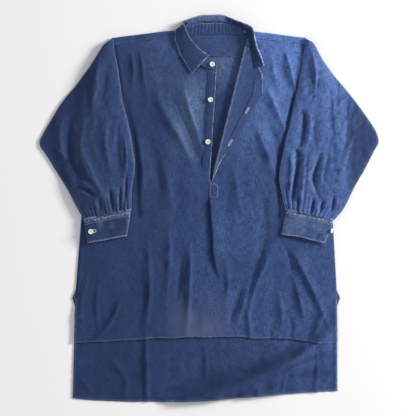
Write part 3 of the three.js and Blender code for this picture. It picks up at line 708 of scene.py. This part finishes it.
# outlines and folds in shares of the sleeve's box, from its inner fold outwards and from the cuff upwards
sleeveShapes = {
    -1: {
        "inner": [(0.013, 0.055), (0.009, 0.171), (-0.017, 0.253), (-0.021, 0.33), (0.009, 0.437),
                  (0.051, 0.541), (0.115, 0.681), (0.15, 0.825), (0.195, 0.94), (0.21, 1.0)],
        "outer": [(0.517, 0.0), (0.577, 0.05), (0.69, 0.16), (0.84, 0.285), (0.94, 0.37), (0.995, 0.42),
                  (0.96, 0.475), (0.77, 0.64), (0.6, 0.75), (0.44, 0.86), (0.315, 0.965)],
        "folds": [
            ([(0.652, 0.6), (0.673, 0.431), (0.609, 0.276), (0.5, 0.2)], -6.0, 13, 0.0, 0.3),
            ([(0.72, 0.62), (0.76, 0.45), (0.7, 0.3)], 4.0, 13, 0.1, 0.35),
            ([(0.48, 0.6), (0.534, 0.392), (0.459, 0.276), (0.353, 0.176), (0.288, 0.1)], 6.5, 12, 0.0, 0.25),
            ([(0.33, 0.92), (0.385, 0.742), (0.438, 0.55)], 5.5, 14, 0.0, 0.35),
            ([(0.26, 0.9), (0.3, 0.74), (0.34, 0.6)], -3.5, 11, 0.0, 0.35),
            ([(0.25, 0.6), (0.27, 0.42), (0.22, 0.25)], 4.2, 12, 0.0, 0.35),
            ([(0.14, 0.55), (0.15, 0.38), (0.12, 0.22)], -3.0, 9, 0.0, 0.35),
            ([(0.09, 0.5), (0.06, 0.36), (0.08, 0.2)], 3.0, 7, 0.0, 0.35),
            ([(0.6, 0.22), (0.47, 0.187), (0.385, 0.15)], 4.5, 6, 0.2, 0.3),
            ([(0.6, 0.19), (0.48, 0.16), (0.4, 0.13)], -3.5, 5, 0.0, 0.3),
            ([(0.86, 0.42), (0.74, 0.36), (0.66, 0.33)], 2.4, 8, 0.0, 0.4),
            ([(0.36, 0.13), (0.33, 0.04)], -5.0, 5, 0.0, 0.35),
            ([(0.246, 0.18), (0.203, 0.04)], -5.5, 5, 0.0, 0.3),
            ([(0.128, 0.2), (0.139, 0.04)], -5.0, 4.5, 0.0, 0.3),
            ([(0.064, 0.28), (0.085, 0.05)], -4.5, 4.5, 0.0, 0.3),
        ],
        "gathered": 0.72, "seed": 31,
    },
    1: {
        "inner": [(0.004, 0.051), (-0.034, 0.137), (-0.064, 0.22), (-0.056, 0.29), (-0.013, 0.395),
                  (0.043, 0.525), (0.1, 0.64), (0.15, 0.77), (0.195, 0.9), (0.205, 1.0)],
        "outer": [(0.521, 0.0), (0.62, 0.06), (0.72, 0.16), (0.86, 0.29), (0.95, 0.38), (1.0, 0.435),
                  (0.95, 0.505), (0.76, 0.65), (0.6, 0.75), (0.43, 0.86), (0.3, 0.975)],
        "folds": [
            ([(0.27, 0.96), (0.321, 0.808), (0.31, 0.68)], 4.5, 9, 0.0, 0.3),
            ([(0.182, 0.62), (0.203, 0.531), (0.15, 0.376)], -4.5, 10, 0.0, 0.3),
            ([(0.24, 0.62), (0.255, 0.5), (0.21, 0.36)], 4.0, 10, 0.0, 0.3),
            ([(0.1, 0.385), (0.139, 0.354), (0.107, 0.221), (0.075, 0.08)], -8.0, 7, 0.0, 0.15),
            ([(0.06, 0.4), (0.07, 0.25), (0.035, 0.1)], 4.0, 7, 0.0, 0.25),
            ([(0.2, 0.36), (0.19, 0.22), (0.15, 0.08)], 4.5, 8, 0.0, 0.25),
            ([(0.4, 0.38), (0.321, 0.282), (0.31, 0.198), (0.385, 0.1)], -5.0, 8, 0.0, 0.25),
            ([(0.44, 0.36), (0.38, 0.26), (0.39, 0.18)], 4.2, 9, 0.0, 0.3),
            ([(0.6, 0.72), (0.62, 0.5), (0.56, 0.3)], 2.6, 18, 0.0, 0.35),
            ([(0.45, 0.8), (0.5, 0.6), (0.5, 0.45)], -2.4, 16, 0.0, 0.35),
            ([(0.75, 0.5), (0.66, 0.36), (0.56, 0.2)], 2.6, 12, 0.0, 0.35),
            ([(0.52, 0.14), (0.49, 0.03)], -5.5, 5, 0.0, 0.3),
            ([(0.4, 0.12), (0.37, 0.03)], -5.0, 5, 0.0, 0.3),
            ([(0.3, 0.13), (0.28, 0.03)], -5.5, 5, 0.0, 0.3),
            ([(0.14, 0.14), (0.13, 0.04)], -5.5, 5, 0.0, 0.3),
        ],
        "gathered": 0.58, "seed": 41,
    },
}


def sleeveSpot(side, shareX, shareY):
    (left, right), (low, high) = sleeveX, sleeveY
    return side * (left + (right - left) * shareX), low + (high - low) * shareY


cuffRun = 118  # mm along a laid cuff, where the sleeve is gathered in
pleatPitch = 9.5


def layFloor(side, x, y):  # what a sleeve or cuff lies on: the front, then the table beside it
    past = side * (x - sideAt(side, y))
    return frontTop + 0.5 - (frontTop + 0.1) * smooth((past - 18) / 46)


def ovalTube(innerPath, outerPath, around, height, seat, floorAt, square=9.0):
    # rows run along the tube; around it the height is (1 - |2t - 1|^square)^0.5 of full above and below
    half = around // 2
    angle = (np.arange(around + 1) / around) * 2 * np.pi
    t = (1 - np.cos(angle)) / 2
    swell = np.sqrt(np.clip(1 - np.abs(2 * t - 1) ** square, 0, 1))
    x = innerPath[:, None, 0] + (outerPath - innerPath)[:, None, 0] * t
    y = innerPath[:, None, 1] + (outerPath - innerPath)[:, None, 1] * t
    base = floorAt(x, y)
    upper = np.arange(around + 1) <= half
    waist = base + seat
    top = height(x, y, t[None, :])
    z = np.where(upper, waist + (top - seat) * swell, waist - (seat - 0.55) * swell)
    return x, y, z, t, upper


def makeSleeve(side, word):
    shape = sleeveShapes[side]
    rows, around = 150, 150
    inner = smoothPath([sleeveSpot(side, *p) for p in shape["inner"]], rows)
    outer = smoothPath([sleeveSpot(side, *p) for p in shape["outer"]], rows)
    folds = [([sleeveSpot(side, *p) for p in path], *rest) for path, *rest in shape["folds"]]
    seed = shape["seed"]
    v = np.linspace(0, 1, rows)[:, None]

    def height(x, y, t):
        full = 14.0 - 4.0 * smooth((v - 0.6) / 0.4) - 4.0 * (1 - smooth(v / 0.35))
        dome = 0.45 + 0.55 * (1 - np.abs(2 * t - 1) ** 2.2)
        wave = 1.5 * clouds(x, y, 34, 80, seed) + 0.9 * clouds(x, y, 17, 42, seed + 1)
        wave = wave + 0.35 * clouds(x, y, 9, 13, seed + 2) + 1.45 * foldSum(x, y, folds)
        pleats = (t * cuffRun + 5 * clouds(t * 120, v * 460, 23, 90, seed + 3)) / pleatPitch
        reach = 0.17 + 0.13 * clouds(t * 120, 0 * v, 10, 30, seed + 4)
        gather = (0.8 + 0.7 * clouds(t * 120, 0 * v, 9, 30, seed + 5)) * np.abs(np.sin(np.pi * pleats)) ** 0.6
        flatter = 1 - 0.8 * smooth((t - shape["gathered"]) / 0.2)  # beyond the share that is gathered
        gather = 6.6 * (gather - 0.5) * (1 - smooth(v / reach)) * flatter
        return np.clip(full * dome + wave + gather, 2.4, 21)

    x, y, z, t, upper = ovalTube(inner, outer, around, height, 3.2, lambda x, y: layFloor(side, x, y),
                                 square=14.0)
    x = x + 0.9 * clouds(y, 0 * x, 26, 30, seed + 6)
    if side < 0:
        x, y, z, t, upper = x[:, ::-1], y[:, ::-1], z[:, ::-1], t[::-1], upper[::-1]
    edge = np.abs(2 * t - 1)[None, :] ** 30
    u = np.cumsum(np.hypot(np.diff(x, axis=1, prepend=x[:, :1]), np.diff(z, axis=1, prepend=z[:, :1])), 1)
    marks = {
        # wear along the folded edges, with a faint painted highlight on the crests; painted shade in the
        # furrows, over the left sleeve and at the right sleeve's outer end; painted light over the right
        # sleeve
        "wear": np.clip(0.25 * edge + 0.06 * crestMark(z, 0.9) * upper, 0, 1),
        "depth": np.clip(1.25 * hollowMark(z, 0.7) * upper
                         + (side < 0) * (0.45 + 0.55 * smooth((np.abs(x) - 220) / 90))
                         + (side > 0) * 0.55 * smooth((np.abs(x) - 320) / 60), 0, 1),
        "sun": (0.6 - 0.6 * smooth((np.abs(x) - 310) / 80)) * (side > 0) + 0.05 * (side < 0),
    }
    piece = gridPiece("sleeve_" + word, np.stack([x, y, z], 2), np.stack([u, y], 2), marks, 0.9,
                      weld=True)
    clothPiece(piece, None, ["upper_sleeve_" + word, "lower_sleeve_" + word])
    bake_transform(piece)


cuffShapes = {  # corners of each cuff in plan, in mm, from the centre line outwards
    -1: {"top": [(-194.0, -3.0), (-311.0, -27.0)], "bottom": [(-204.0, -67.0), (-302.0, -85.0)], "wave": 0.5,
         "crease": 0.45},
    1: {"top": [(193.0, -3.0), (311.0, -28.0)], "bottom": [(178.5, -62.0), (290.0, -84.0)], "wave": 2.2,
        "crease": 0.76},
}


def makeCuff(side, word):
    shape = cuffShapes[side]
    rows, around = 40, 120
    (topIn, topOut), (lowIn, lowOut) = (np.array(shape[key]) for key in ("top", "bottom"))
    v = np.linspace(0, 1, rows)[:, None]
    inner = lowIn + (topIn + (topIn - lowIn) * 0.06 - lowIn) * v
    outer = lowOut + (topOut + (topOut - lowOut) * 0.06 - lowOut) * v
    seed = 51 + side

    def offCrease(t):  # how far along the cuff from its slanting crease, as a share
        return t - shape["crease"] - 0.07 * v

    def height(x, y, t):
        flat = 9.9 - shape["wave"] * (0.4 + 0.6 * clouds(x, y, 30, 60, seed))
        dent = np.exp(-((offCrease(t) / 0.04) ** 2)) * (1.2 - v)
        seam = -1.1 * np.exp(-(((v - 0.93) / 0.045) ** 2)) - 0.5 * np.exp(-(((v - 0.07) / 0.03) ** 2))
        flat = flat - 0.8 * shape["wave"] * dent
        pucker = 0.5 * np.sin(t * cuffRun / 3.1 * 2) * (np.exp(-(((v - 0.92) / 0.09) ** 2)))
        return flat + seam + pucker + 0.3 * clouds(x, y, 9, 7, seed + 1)

    x, y, z, t, _ = ovalTube(inner, outer, around, height, 4.6,
                             lambda x, y: frontTop + 0.3 + 0 * x, square=16.0)
    y = y + shape["wave"] * 0.9 * clouds(x, 0 * y, 22, 30, seed + 2) * (1 - v)
    x = x + shape["wave"] * 0.6 * clouds(y, 0 * x, 18, 30, seed + 3)
    if side < 0:
        x, y, z, t = x[:, ::-1], y[:, ::-1], z[:, ::-1], t[::-1]
    u = np.cumsum(np.hypot(np.diff(x, axis=1, prepend=x[:, :1]), np.diff(z, axis=1, prepend=z[:, :1])), 1)
    hem = 1 - smooth(v * 64 / 2.4)
    marks = {"wear": np.clip(0.8 * hem + 0.3 * np.abs(2 * t - 1)[None, :] ** 30
                             + 0.5 * np.exp(-(((v - 0.97) / 0.03) ** 2))
                             + 0.45 * np.exp(-(((v - 0.86) / 0.06) ** 2))
                             * (0.6 + clouds(x, y, 4, 5, seed + 4))
                             + 0.12 * np.maximum(clouds(x, y, 14, 12, seed + 5), 0) + 0 * z, 0, 1),
             # painted shade along the top seam, in the slanting crease, over the whole left cuff and a little
             # overall; painted light on the right cuff
             "depth": np.clip(0.5 * np.exp(-(((v - 0.9) / 0.03) ** 2)) + 0.8 * (side < 0) + 0.25 + 0 * z
                              + 0.4 * np.exp(-((offCrease(t[None, :]) / 0.06) ** 2)) * (1 - v), 0, 1),
             "fade": np.clip(0.1 + 0.25 * clouds(x, y, 26, 18, seed + 6), 0, 1),
             "sun": (0.2 if side > 0 else 0.0) + 0 * z}
    piece = gridPiece("cuff_shell_" + word, np.stack([x, y, z], 2), np.stack([y, u], 2), marks, 1.6,
                      weld=True)
    clothPiece(piece, "cuff_" + word, ["cuff_" + word, "cuff_facing_" + word])
    for up in (0.05, 0.8, 0.93):
        ends = [lowIn + (topIn - lowIn) * up, lowOut + (topOut - lowOut) * up]
        stitchOn(piece, "cuff_" + word + "_cream", [ends[0] * (1 - k) + ends[1] * k for k in (0.03, 0.97)])


def topOf(piece):
    return BVHTree.FromObject(piece, bpy.context.evaluated_depsgraph_get())


def stitchOn(piece, group, path, **kind):  # a row of stitches laid down onto a piece from above
    tree = topOf(piece)
    even = evenPath(np.array(path, float), 1.6)
    landed = []
    for x, y in even[:, :2]:
        hit = tree.ray_cast(Vector((x * 0.001, y * 0.001, 0.06)), Vector((0, 0, -1)))[0]
        if hit is not None:
            landed.append((x, y, hit.z * 1000))
    if len(landed) > 4:
        stitch(group, landed, **kind)


def topOutline(piece):  # the longest border of the faces that look up, in plan
    shape = bmesh.new()
    shape.from_mesh(piece.data)
    up = {f.index for f in shape.faces if f.normal.z > 0.25}
    border = {}
    for edge in shape.edges:
        looking = [f for f in edge.link_faces if f.index in up]
        if len(looking) == 1:
            a, b = edge.verts
            border.setdefault(a.index, []).append(b.index)
            border.setdefault(b.index, []).append(a.index)
    shape.verts.ensure_lookup_table()
    place = {i: np.array(shape.verts[i].co[:2]) * 1000 for i in border}
    shape.free()
    best, bestRun = [], 0
    left = set(border)
    while left:
        start = min(left)
        loop, here, before = [], start, None
        while here in left:
            left.discard(here)
            loop.append(here)
            onward = [i for i in border[here] if i != before and i in left]
            before = here
            if not onward:
                break
            here = onward[0]
        run = sum(np.linalg.norm(place[a] - place[b]) for a, b in zip(loop, loop[1:]))
        if run > bestRun:
            best, bestRun = loop, run
    loop = np.array([place[i] for i in best])
    return np.vstack([loop, loop[:1]])


def edgeStitch(piece, group, inset, where=None, **kind):  # a row of stitches along a piece's own outline
    loop = evenPath(topOutline(piece), 2.0)
    loop = (loop + np.roll(loop, 1, 0) + np.roll(loop, -1, 0)) / 3
    ahead = np.roll(loop, -2, 0) - np.roll(loop, 2, 0)
    ahead /= np.maximum(np.linalg.norm(ahead, axis=1), 1e-6)[:, None]
    area = np.sum(loop[:, 0] * np.roll(loop[:, 1], -1) - np.roll(loop[:, 0], -1) * loop[:, 1])
    inward = np.stack([-ahead[:, 1], ahead[:, 0]], 1) * np.sign(area)
    row = loop + inward * inset
    clear = np.array([np.min(np.hypot(*(loop - p).T)) > inset * 0.82 for p in row])
    if where is not None:
        clear &= where(row[:, 0], row[:, 1])
    start = int(np.argmin(clear)) if not clear.all() else 0
    row, clear = np.roll(row, -start, 0), np.roll(clear, -start)
    run = []
    for p, good in list(zip(row, clear)) + [(None, False)]:
        if good:
            run.append(p)
        else:
            if len(run) > 5:
                stitchOn(piece, group, run, **kind)
            run = []


def ripple(x, y):  # the slow unevenness that every layer of a sewn edge shares
    return 0.45 * clouds(x, y, 21, 27, 61) + 0.2 * clouds(x, y, 9, 11, 62)


leafFoot, leafAxis = jointSpot("collar_leaf_fold")
leafRun = leafAxis[:2] / np.linalg.norm(leafAxis[:2])  # from the button end up to the shoulder
leafLength = 101.0


def collarBow(x, y):
    # the collar's fold bows towards its point: 4 s (1 - s) of the bow at share s, less across the collar
    relX, relY = x - leafFoot[0], y - leafFoot[1]
    share = (relX * leafRun[0] + relY * leafRun[1]) / leafLength
    off = -relX * leafRun[1] + relY * leafRun[0]  # towards the point
    side = off if leafRun[0] < 0 else -off
    bow = 11.0 * np.clip(4 * share * (1 - share), 0, 1) * np.exp(-np.abs(side) / 26)
    normal = np.array([-leafRun[1], leafRun[0]])
    return bow * normal[0], bow * normal[1]


def fromNode(name, node, step=4.0, lift=None, turn=0.0, depth=0.0, wear=0.25, wearWidth=2.4, bow=False,
             worn=None, sun=1.0):
    # a fine copy of a plain solid: every edge over step is halved, then it takes the cloth's unevenness
    shape = bmesh.new()
    shape.from_mesh(frame["nodes"][node].data)
    bmesh.ops.remove_doubles(shape, verts=shape.verts, dist=1e-5)
    bmesh.ops.dissolve_degenerate(shape, edges=shape.edges, dist=5e-5)
    bmesh.ops.triangulate(shape, faces=shape.faces)
    for _ in range(6):
        long = [e for e in shape.edges if e.calc_length() > step * 0.001]
        if not long:
            break
        bmesh.ops.subdivide_edges(shape, edges=long, cuts=1)
        bmesh.ops.triangulate(shape, faces=shape.faces)
    shape.normal_update()
    rim = [v.index for e in shape.edges if e.is_manifold and e.calc_face_angle(0) > 0.9
           and min(f.calc_area() for f in e.link_faces) > 3e-8 for v in e.verts]
    mesh = bpy.data.meshes.new(name)
    shape.to_mesh(mesh)
    shape.free()
    place = np.zeros(len(mesh.vertices) * 3)
    mesh.vertices.foreach_get("co", place)
    place = place.reshape(-1, 3) * 1000
    rimAt = place[np.unique(rim)]
    away = np.concatenate([np.min(np.linalg.norm(part[:, None] - rimAt[None], axis=2), axis=1)
                           for part in np.array_split(place, max(1, len(place) // 500))])
    x, y = place[:, 0], place[:, 1]
    moved = place.copy()
    moved[:, 0] += 0.5 * clouds(x, y, 19, 15, 63)
    moved[:, 1] += 0.5 * clouds(x, y, 15, 19, 64)
    moved[:, 2] += ripple(x, y) + (lift(x, y, place[:, 2]) if lift else 0)
    if bow:
        bowX, bowY = collarBow(x, y)
        moved[:, 0] += bowX
        moved[:, 1] += bowY
    moved[:, 2] = np.maximum(moved[:, 2], 0.1)
    mesh.vertices.foreach_set("co", (moved * 0.001).ravel())
    c, s = math.cos(math.radians(turn)), math.sin(math.radians(turn))
    flat = np.stack([x * c - y * s, x * s + y * c + place[:, 2]], 1)
    ragged = 0.6 + 0.5 * clouds(x, y, 7, 9, 65)
    shown = worn(x, y) if worn else 1.0
    # painted light towards the right shoulder and painted shade towards the left, each raised or lowered per
    # piece
    marks = {"wear": wear * (1 - smooth(away / wearWidth)) * ragged * shown,
             "sun": sunAt(x, y) * sun, "depth": depthAt(x) + depth}
    dressMesh(mesh, flat, {key: np.clip(value, 0, 1) for key, value in marks.items()})
    mesh.set_sharp_from_angle(angle=0.9)
    return placed(name, mesh)


sewnPieces = {
    # piece: node, body, cut width and length in metres, how it is held, what it lies on, looks with its
    # painted shade and painted light, stitch rows
    "yoke": dict(node="back_yoke", body="body", flat=(0.486, 0.085), held="folded", on=["back"], turn=90),
    "yoke_inside": dict(node="yoke_lining", body="body", flat=(0.48, 0.07), held="laid", on=["yoke"], turn=90,
                        facing=True, depth=0.35, sun=0.0),
    "placket_band": dict(node="button_band", body="body", flat=(0.246, 0.021), held="laid", on=["front"],
                         rows=(1.6,), wear=0.9, worn=lambda x, y: x > slitEdges(y)[0] - 4,
                         where=lambda x, y: x > slitEdges(y)[0] - 6, depth=0.4,
                         lift=lambda x, y, z: -1.1 * smooth((slitEdges(y)[0] - 13 - x) / 6)
                         - 1.1 * smooth((108 - y) / 12)),
    "placket_foot": dict(node="placket_stay", body="body", flat=(0.038, 0.022), held="laid", on=["front"],
                         rows=(1.8,), cream=True, step=2.0),
    "neckband_left": dict(node="neckband", body="body", flat=(0.3, 0.027), held="folded", on=["yoke_inside"],
                          step=2.0, bow=True, depth=0.2, sun=0.0, facing=True, also=("neckband_facing",),
                          lift=lambda x, y, z: 0.45 * np.sin(x / 1.3 + 1.5 * clouds(x, 0 * x, 20, 30, 91))
                          * smooth((y - 436) / 8), seam=[(-47, 455), (-25, 459), (5, 461), (34, 460)]),
    "collar_point_left": dict(node="collar_leaf_left", body="collar_leaf", flat=(0.1, 0.06), held="folded",
                              on=["front"], step=2.2, rows=(2.6,), wear=1.0, wearWidth=3.2, turn=50,
                              depth=0.35, sun=0.3, bow=True),
    "collar_point_left_facing": dict(node="under_collar_left", body="collar_leaf", flat=(0.1, 0.06),
                                     held="folded", on=["front"], step=2.2, facing=True, turn=50, bow=True,
                                     lift=lambda x, y, z: -0.6),
    "buttonhole_strip": dict(node="buttonhole_band", body="lapel", flat=(0.22, 0.023), held="laid",
                             on=["lapel_turned"], turn=30, wear=0.9, rows=(1.8,), facing=True, depth=0.6,
                             sun=0.2,
                             where=lambda x, y: y < 318, worn=lambda x, y: 1 - smooth((y - 300) / 20),
                             lift=lambda x, y, z: -1.0 * smooth((y - 312) / 12)),
}
for kind, cut in (("underarm_gusset", (0.036, 0.036)), ("vent_gusset", (0.02, 0.01))):
    for word in ("left", "right"):
        label = f"{kind}_{word}"
        sewnPieces[label] = dict(node=label, body="body", flat=cut, held="laid", on=["back"])


shapeKeys = ("step", "lift", "turn", "depth", "wear", "wearWidth", "bow", "worn", "sun")


def makeSewn():
    for name, kind in sewnPieces.items():
        label = name if name != kind["node"] else name + "_cloth"
        own = {key: kind[key] for key in shapeKeys if key in kind}
        piece = fromNode(label, kind["node"], **own)
        facing = kind.get("facing")
        clothPiece(piece, kind["body"], [kind["node"], *kind.get("also", ())],
                   facingCloth if facing else bodyCloth)
        group = kind["body"] + ("_cream" if kind.get("cream") else "")
        if "seam" in kind:
            stitchOn(piece, kind["body"] + "_cream", kind["seam"], radius=0.4)
        for inset in kind.get("rows", ()):
            edgeStitch(piece, group, inset, where=kind.get("where"),
                       radius=0.45 if kind.get("cream") else 0.33)


lapelShape = {
    # its free edge: share up the fold, mm out from it
    "edge": [(0.0, 2.5), (0.03, 5.0), (0.1, 7.5), (0.239, 21.8), (0.388, 40.0), (0.561, 58.2), (0.657, 65.2),
             (0.72, 66.0), (0.814, 58.2), (0.9, 36.0), (0.966, 11.2), (1.0, 6.0)],
    "roll": 3.0,  # the fold stands this much proud of the flat part
}


def makeLapel():
    rows, across, turnSteps = 130, 44, 9
    share, reach = zip(*lapelShape["edge"])
    v = np.linspace(0, 0.985, rows)[:, None]
    out = np.interp(v, share, reach)
    thin = smooth(v / 0.08)
    s = np.linspace(0, 1, across)[None, :]
    o = out * s
    roll = lapelShape["roll"] * thin
    z = frontTop + 1.55 + roll * np.exp(-((o / 15) ** 2))
    low = frontTop - 0.4
    radius = (z[:, :1] - low) / 2
    angle = np.linspace(-np.pi / 2, np.pi / 2, turnSteps)[None, :-1]
    rollOut = -radius * np.cos(angle)
    rollZ = low + radius + radius * np.sin(angle)
    o = np.concatenate([rollOut, o], 1)
    z = np.concatenate([rollZ, z], 1)
    normal = np.array([foldRun[1], -foldRun[0]])
    x = foldFoot[0] + foldRun[0] * foldLength * v + normal[0] * o
    y = foldFoot[1] + foldRun[1] * foldLength * v + normal[1] * o
    z = z + ripple(x, y) + 0.5 * clouds(x, y, 40, 30, 71) * smooth(o / 12)
    marks = {"wear": np.clip(0.75 * (1 - smooth((out - o) / 3)) + 0.25 * np.exp(-((o / 3) ** 2)), 0, 1),
             # painted shade over the whole turned lapel, more towards its free edge
             "depth": 0.65 + 0.3 * smooth((o - 20) / 30)}
    piece = gridPiece("lapel_turned", np.stack([x, y, z], 2), np.stack([o, foldLength * v + 0 * o], 2),
                      marks, 0.9)
    clothPiece(piece, "lapel", ["lapel"], facingCloth)
    edgeStitch(piece, "lapel", 2.2,
               where=lambda x, y: (x - foldFoot[0]) * normal[0] + (y - foldFoot[1]) * normal[1] > 6)


collarTurn = {
    # seam: where it leaves the neckband, then the lapel; edge: its folded edge; in plan, then their heights
    "seam": [(-57, 455), (-25, 462), (10, 464), (40, 463), (66, 456), (88, 443), (97, 424), (103, 398),
             (109, 372), (113, 350)],
    "edge": [(-66, 466), (-30, 477), (5, 481), (36, 480), (62, 470), (88, 460), (109, 448), (118, 408),
             (133, 372), (138, 357)],
    "seamHeight": [15, 20, 21, 21, 19, 17, 14, 12.5, 12.0, 11.6],
    "edgeHeight": [22, 25, 26, 26, 26.5, 27.5, 26, 22, 18, 14.5],
    "fall": [9, 12, 13, 12, 9, 6, 7, 8, 6, 3],  # how far the fall reaches beyond and below the folded edge
    "roll": 2.2,
}


def makeCollarTurn():
    rows, faceCols, turnCols, fallCols = 150, 16, 8, 10
    seam = smoothPath(collarTurn["seam"], rows)
    edge = smoothPath(collarTurn["edge"], rows)
    seamZ, edgeZ, fall = (smoothPath([[v] for v in collarTurn[key]], rows) for key in
                          ("seamHeight", "edgeHeight", "fall"))
    out = edge - seam
    width = np.linalg.norm(out, axis=1)[:, None]
    out = out / width
    r = collarTurn["roll"]
    s = np.linspace(0, 1, faceCols)[None, :]
    o = (width - r) * s
    z = seamZ + (edgeZ - seamZ) * np.sin(s * np.pi / 2) ** 1.2
    a = np.linspace(0, np.pi * 0.8, turnCols)[None, 1:]
    o = np.concatenate([o, width - r + r * np.sin(a)], 1)
    z = np.concatenate([z, edgeZ - r + r * np.cos(a)], 1)
    f = np.linspace(0, 1, fallCols)[None, 1:]
    low = 4.0 + 6.0 * smooth((edge[:, :1] - 60) / 40)
    o = np.concatenate([o, o[:, -1:] + (fall - r) * 0.55 * f], 1)
    z = np.concatenate([z, z[:, -1:] + (np.minimum(low, z[:, -1:]) - z[:, -1:]) * f], 1)
    v = np.linspace(0, 1, rows)[:, None] * 330  # mm along the neckline
    twist = smooth((v - 130) / 30) * smooth((215 - v) / 40)
    o = o + 0.8 * clouds(v, 0 * o, 13, 30, 81) * smooth(o / 8)
    x = seam[:, :1] + out[:, :1] * o
    y = seam[:, 1:] + out[:, 1:] * o
    uneven = 0.9 * clouds(v, o, 12, 22, 82) + 1.6 * twist * clouds(v, o * 2, 16, 12, 83)
    z = z + uneven * smooth(o / 6)
    x, y, z = x[::-1], y[::-1], z[::-1]
    v, o = v[::-1], o[::-1]
    edgeOff = np.abs(o - (width[::-1] - r * 0.3))
    marks = {
        "wear": np.clip((0.95 * np.exp(-((edgeOff / 1.8) ** 2)) * (0.55 + 0.45 * smooth((v - 170) / 50))
                         + 0.5 * np.exp(-(((o - o[:, -1:]) / 2) ** 2)))
                        * (0.75 + 0.5 * clouds(v, o, 6, 9, 84)), 0, 1),
        "fade": np.clip(0.45 * (1 - smooth((v - 105) / 20)) * smooth(o / 6) + 0 * o, 0, 1),
        # painted shade over the right part, where the collar turns down into the neck
        "depth": np.clip(0.9 * smooth((v - 110) / 20) + 0 * o, 0, 1),
    }
    piece = gridPiece("collar_turn", np.stack([x, y, z], 2), np.stack([v + 0 * o, o], 2), marks, 1.4)
    clothPiece(piece, None, ["collar_back", "collar_fall_back", "collar_leaf_right", "neckband_right",
                             "neckband_facing_right"])
    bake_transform(piece)


print("sleeves and cuffs")
for side, word in ((-1, "left"), (1, "right")):
    makeSleeve(side, word)
    makeCuff(side, word)
print("lapel, collar, bands and yoke")
makeLapel()
makeSewn()
makeCollarTurn()

for name, node in frame["nodes"].items():
    if name.startswith("button_thread") or name.startswith("buttonhole_stitch"):
        node.data.materials.clear()
        node.data.materials.append(creamThread)
    elif name.startswith("button_") and name != "button_band":
        node.data.materials.clear()
        node.data.materials.append(shell)

camera = bpy.data.objects.new("camera", bpy.data.cameras.new("camera"))
bpy.context.collection.objects.link(camera)
cameraHeight = 2.6
viewWidth = 1.04  # metres across the picture at the table
camera.location = (-0.0025, 0.0025, cameraHeight)
camera.data.sensor_width = 36
camera.data.lens = 36 * cameraHeight / viewWidth
bpy.context.scene.camera = camera
bpy.context.scene.view_settings.view_transform = "Standard"


def areaLight(name, place, aim, size, power, tint):
    lamp = bpy.data.objects.new(name, bpy.data.lights.new(name, "AREA"))
    lamp.data.size = size
    lamp.data.energy = power
    lamp.data.color = colour(tint)[:3]
    lamp.location = place
    direction = np.array(aim) - np.array(place)
    lamp.rotation_euler = (math.atan2(math.hypot(direction[0], direction[1]), -direction[2]), 0,
                           math.atan2(direction[1], direction[0]) - math.pi / 2)
    bpy.context.collection.objects.link(lamp)


areaLight("window", (4.4, 1.5, 2.15), (0, 0, 0), 1.3, 322, "fffcf8")
areaLight("room", (-1.6, -1.4, 2.4), (0, 0, 0), 2.5, 10, "f4f6ff")
world = bpy.data.worlds.new("room light")
bpy.context.scene.world = world
world.use_nodes = True
world.node_tree.nodes["Background"].inputs[0].default_value = colour("eef1f6")
world.node_tree.nodes["Background"].inputs[1].default_value = 0.49

table = bpy.data.meshes.new("table")
reach, drop = 3.0, -0.0003  # half its side, and just below the cloth so that the two don't share a plane
table.from_pydata([(-reach, -reach, drop), (reach, -reach, drop), (reach, reach, drop),
                   (-reach, reach, drop)], [], [(0, 1, 2, 3)])
tableTop = placed("table_top", table)
table.materials.append(paleTable("matt painted table"))

for group in stitchRuns:
    pale = group.endswith("_cream")
    body = group.removesuffix("_cream")
    stitchObject("stitches_" + group, group, body, creamThread if pale else blueThread)
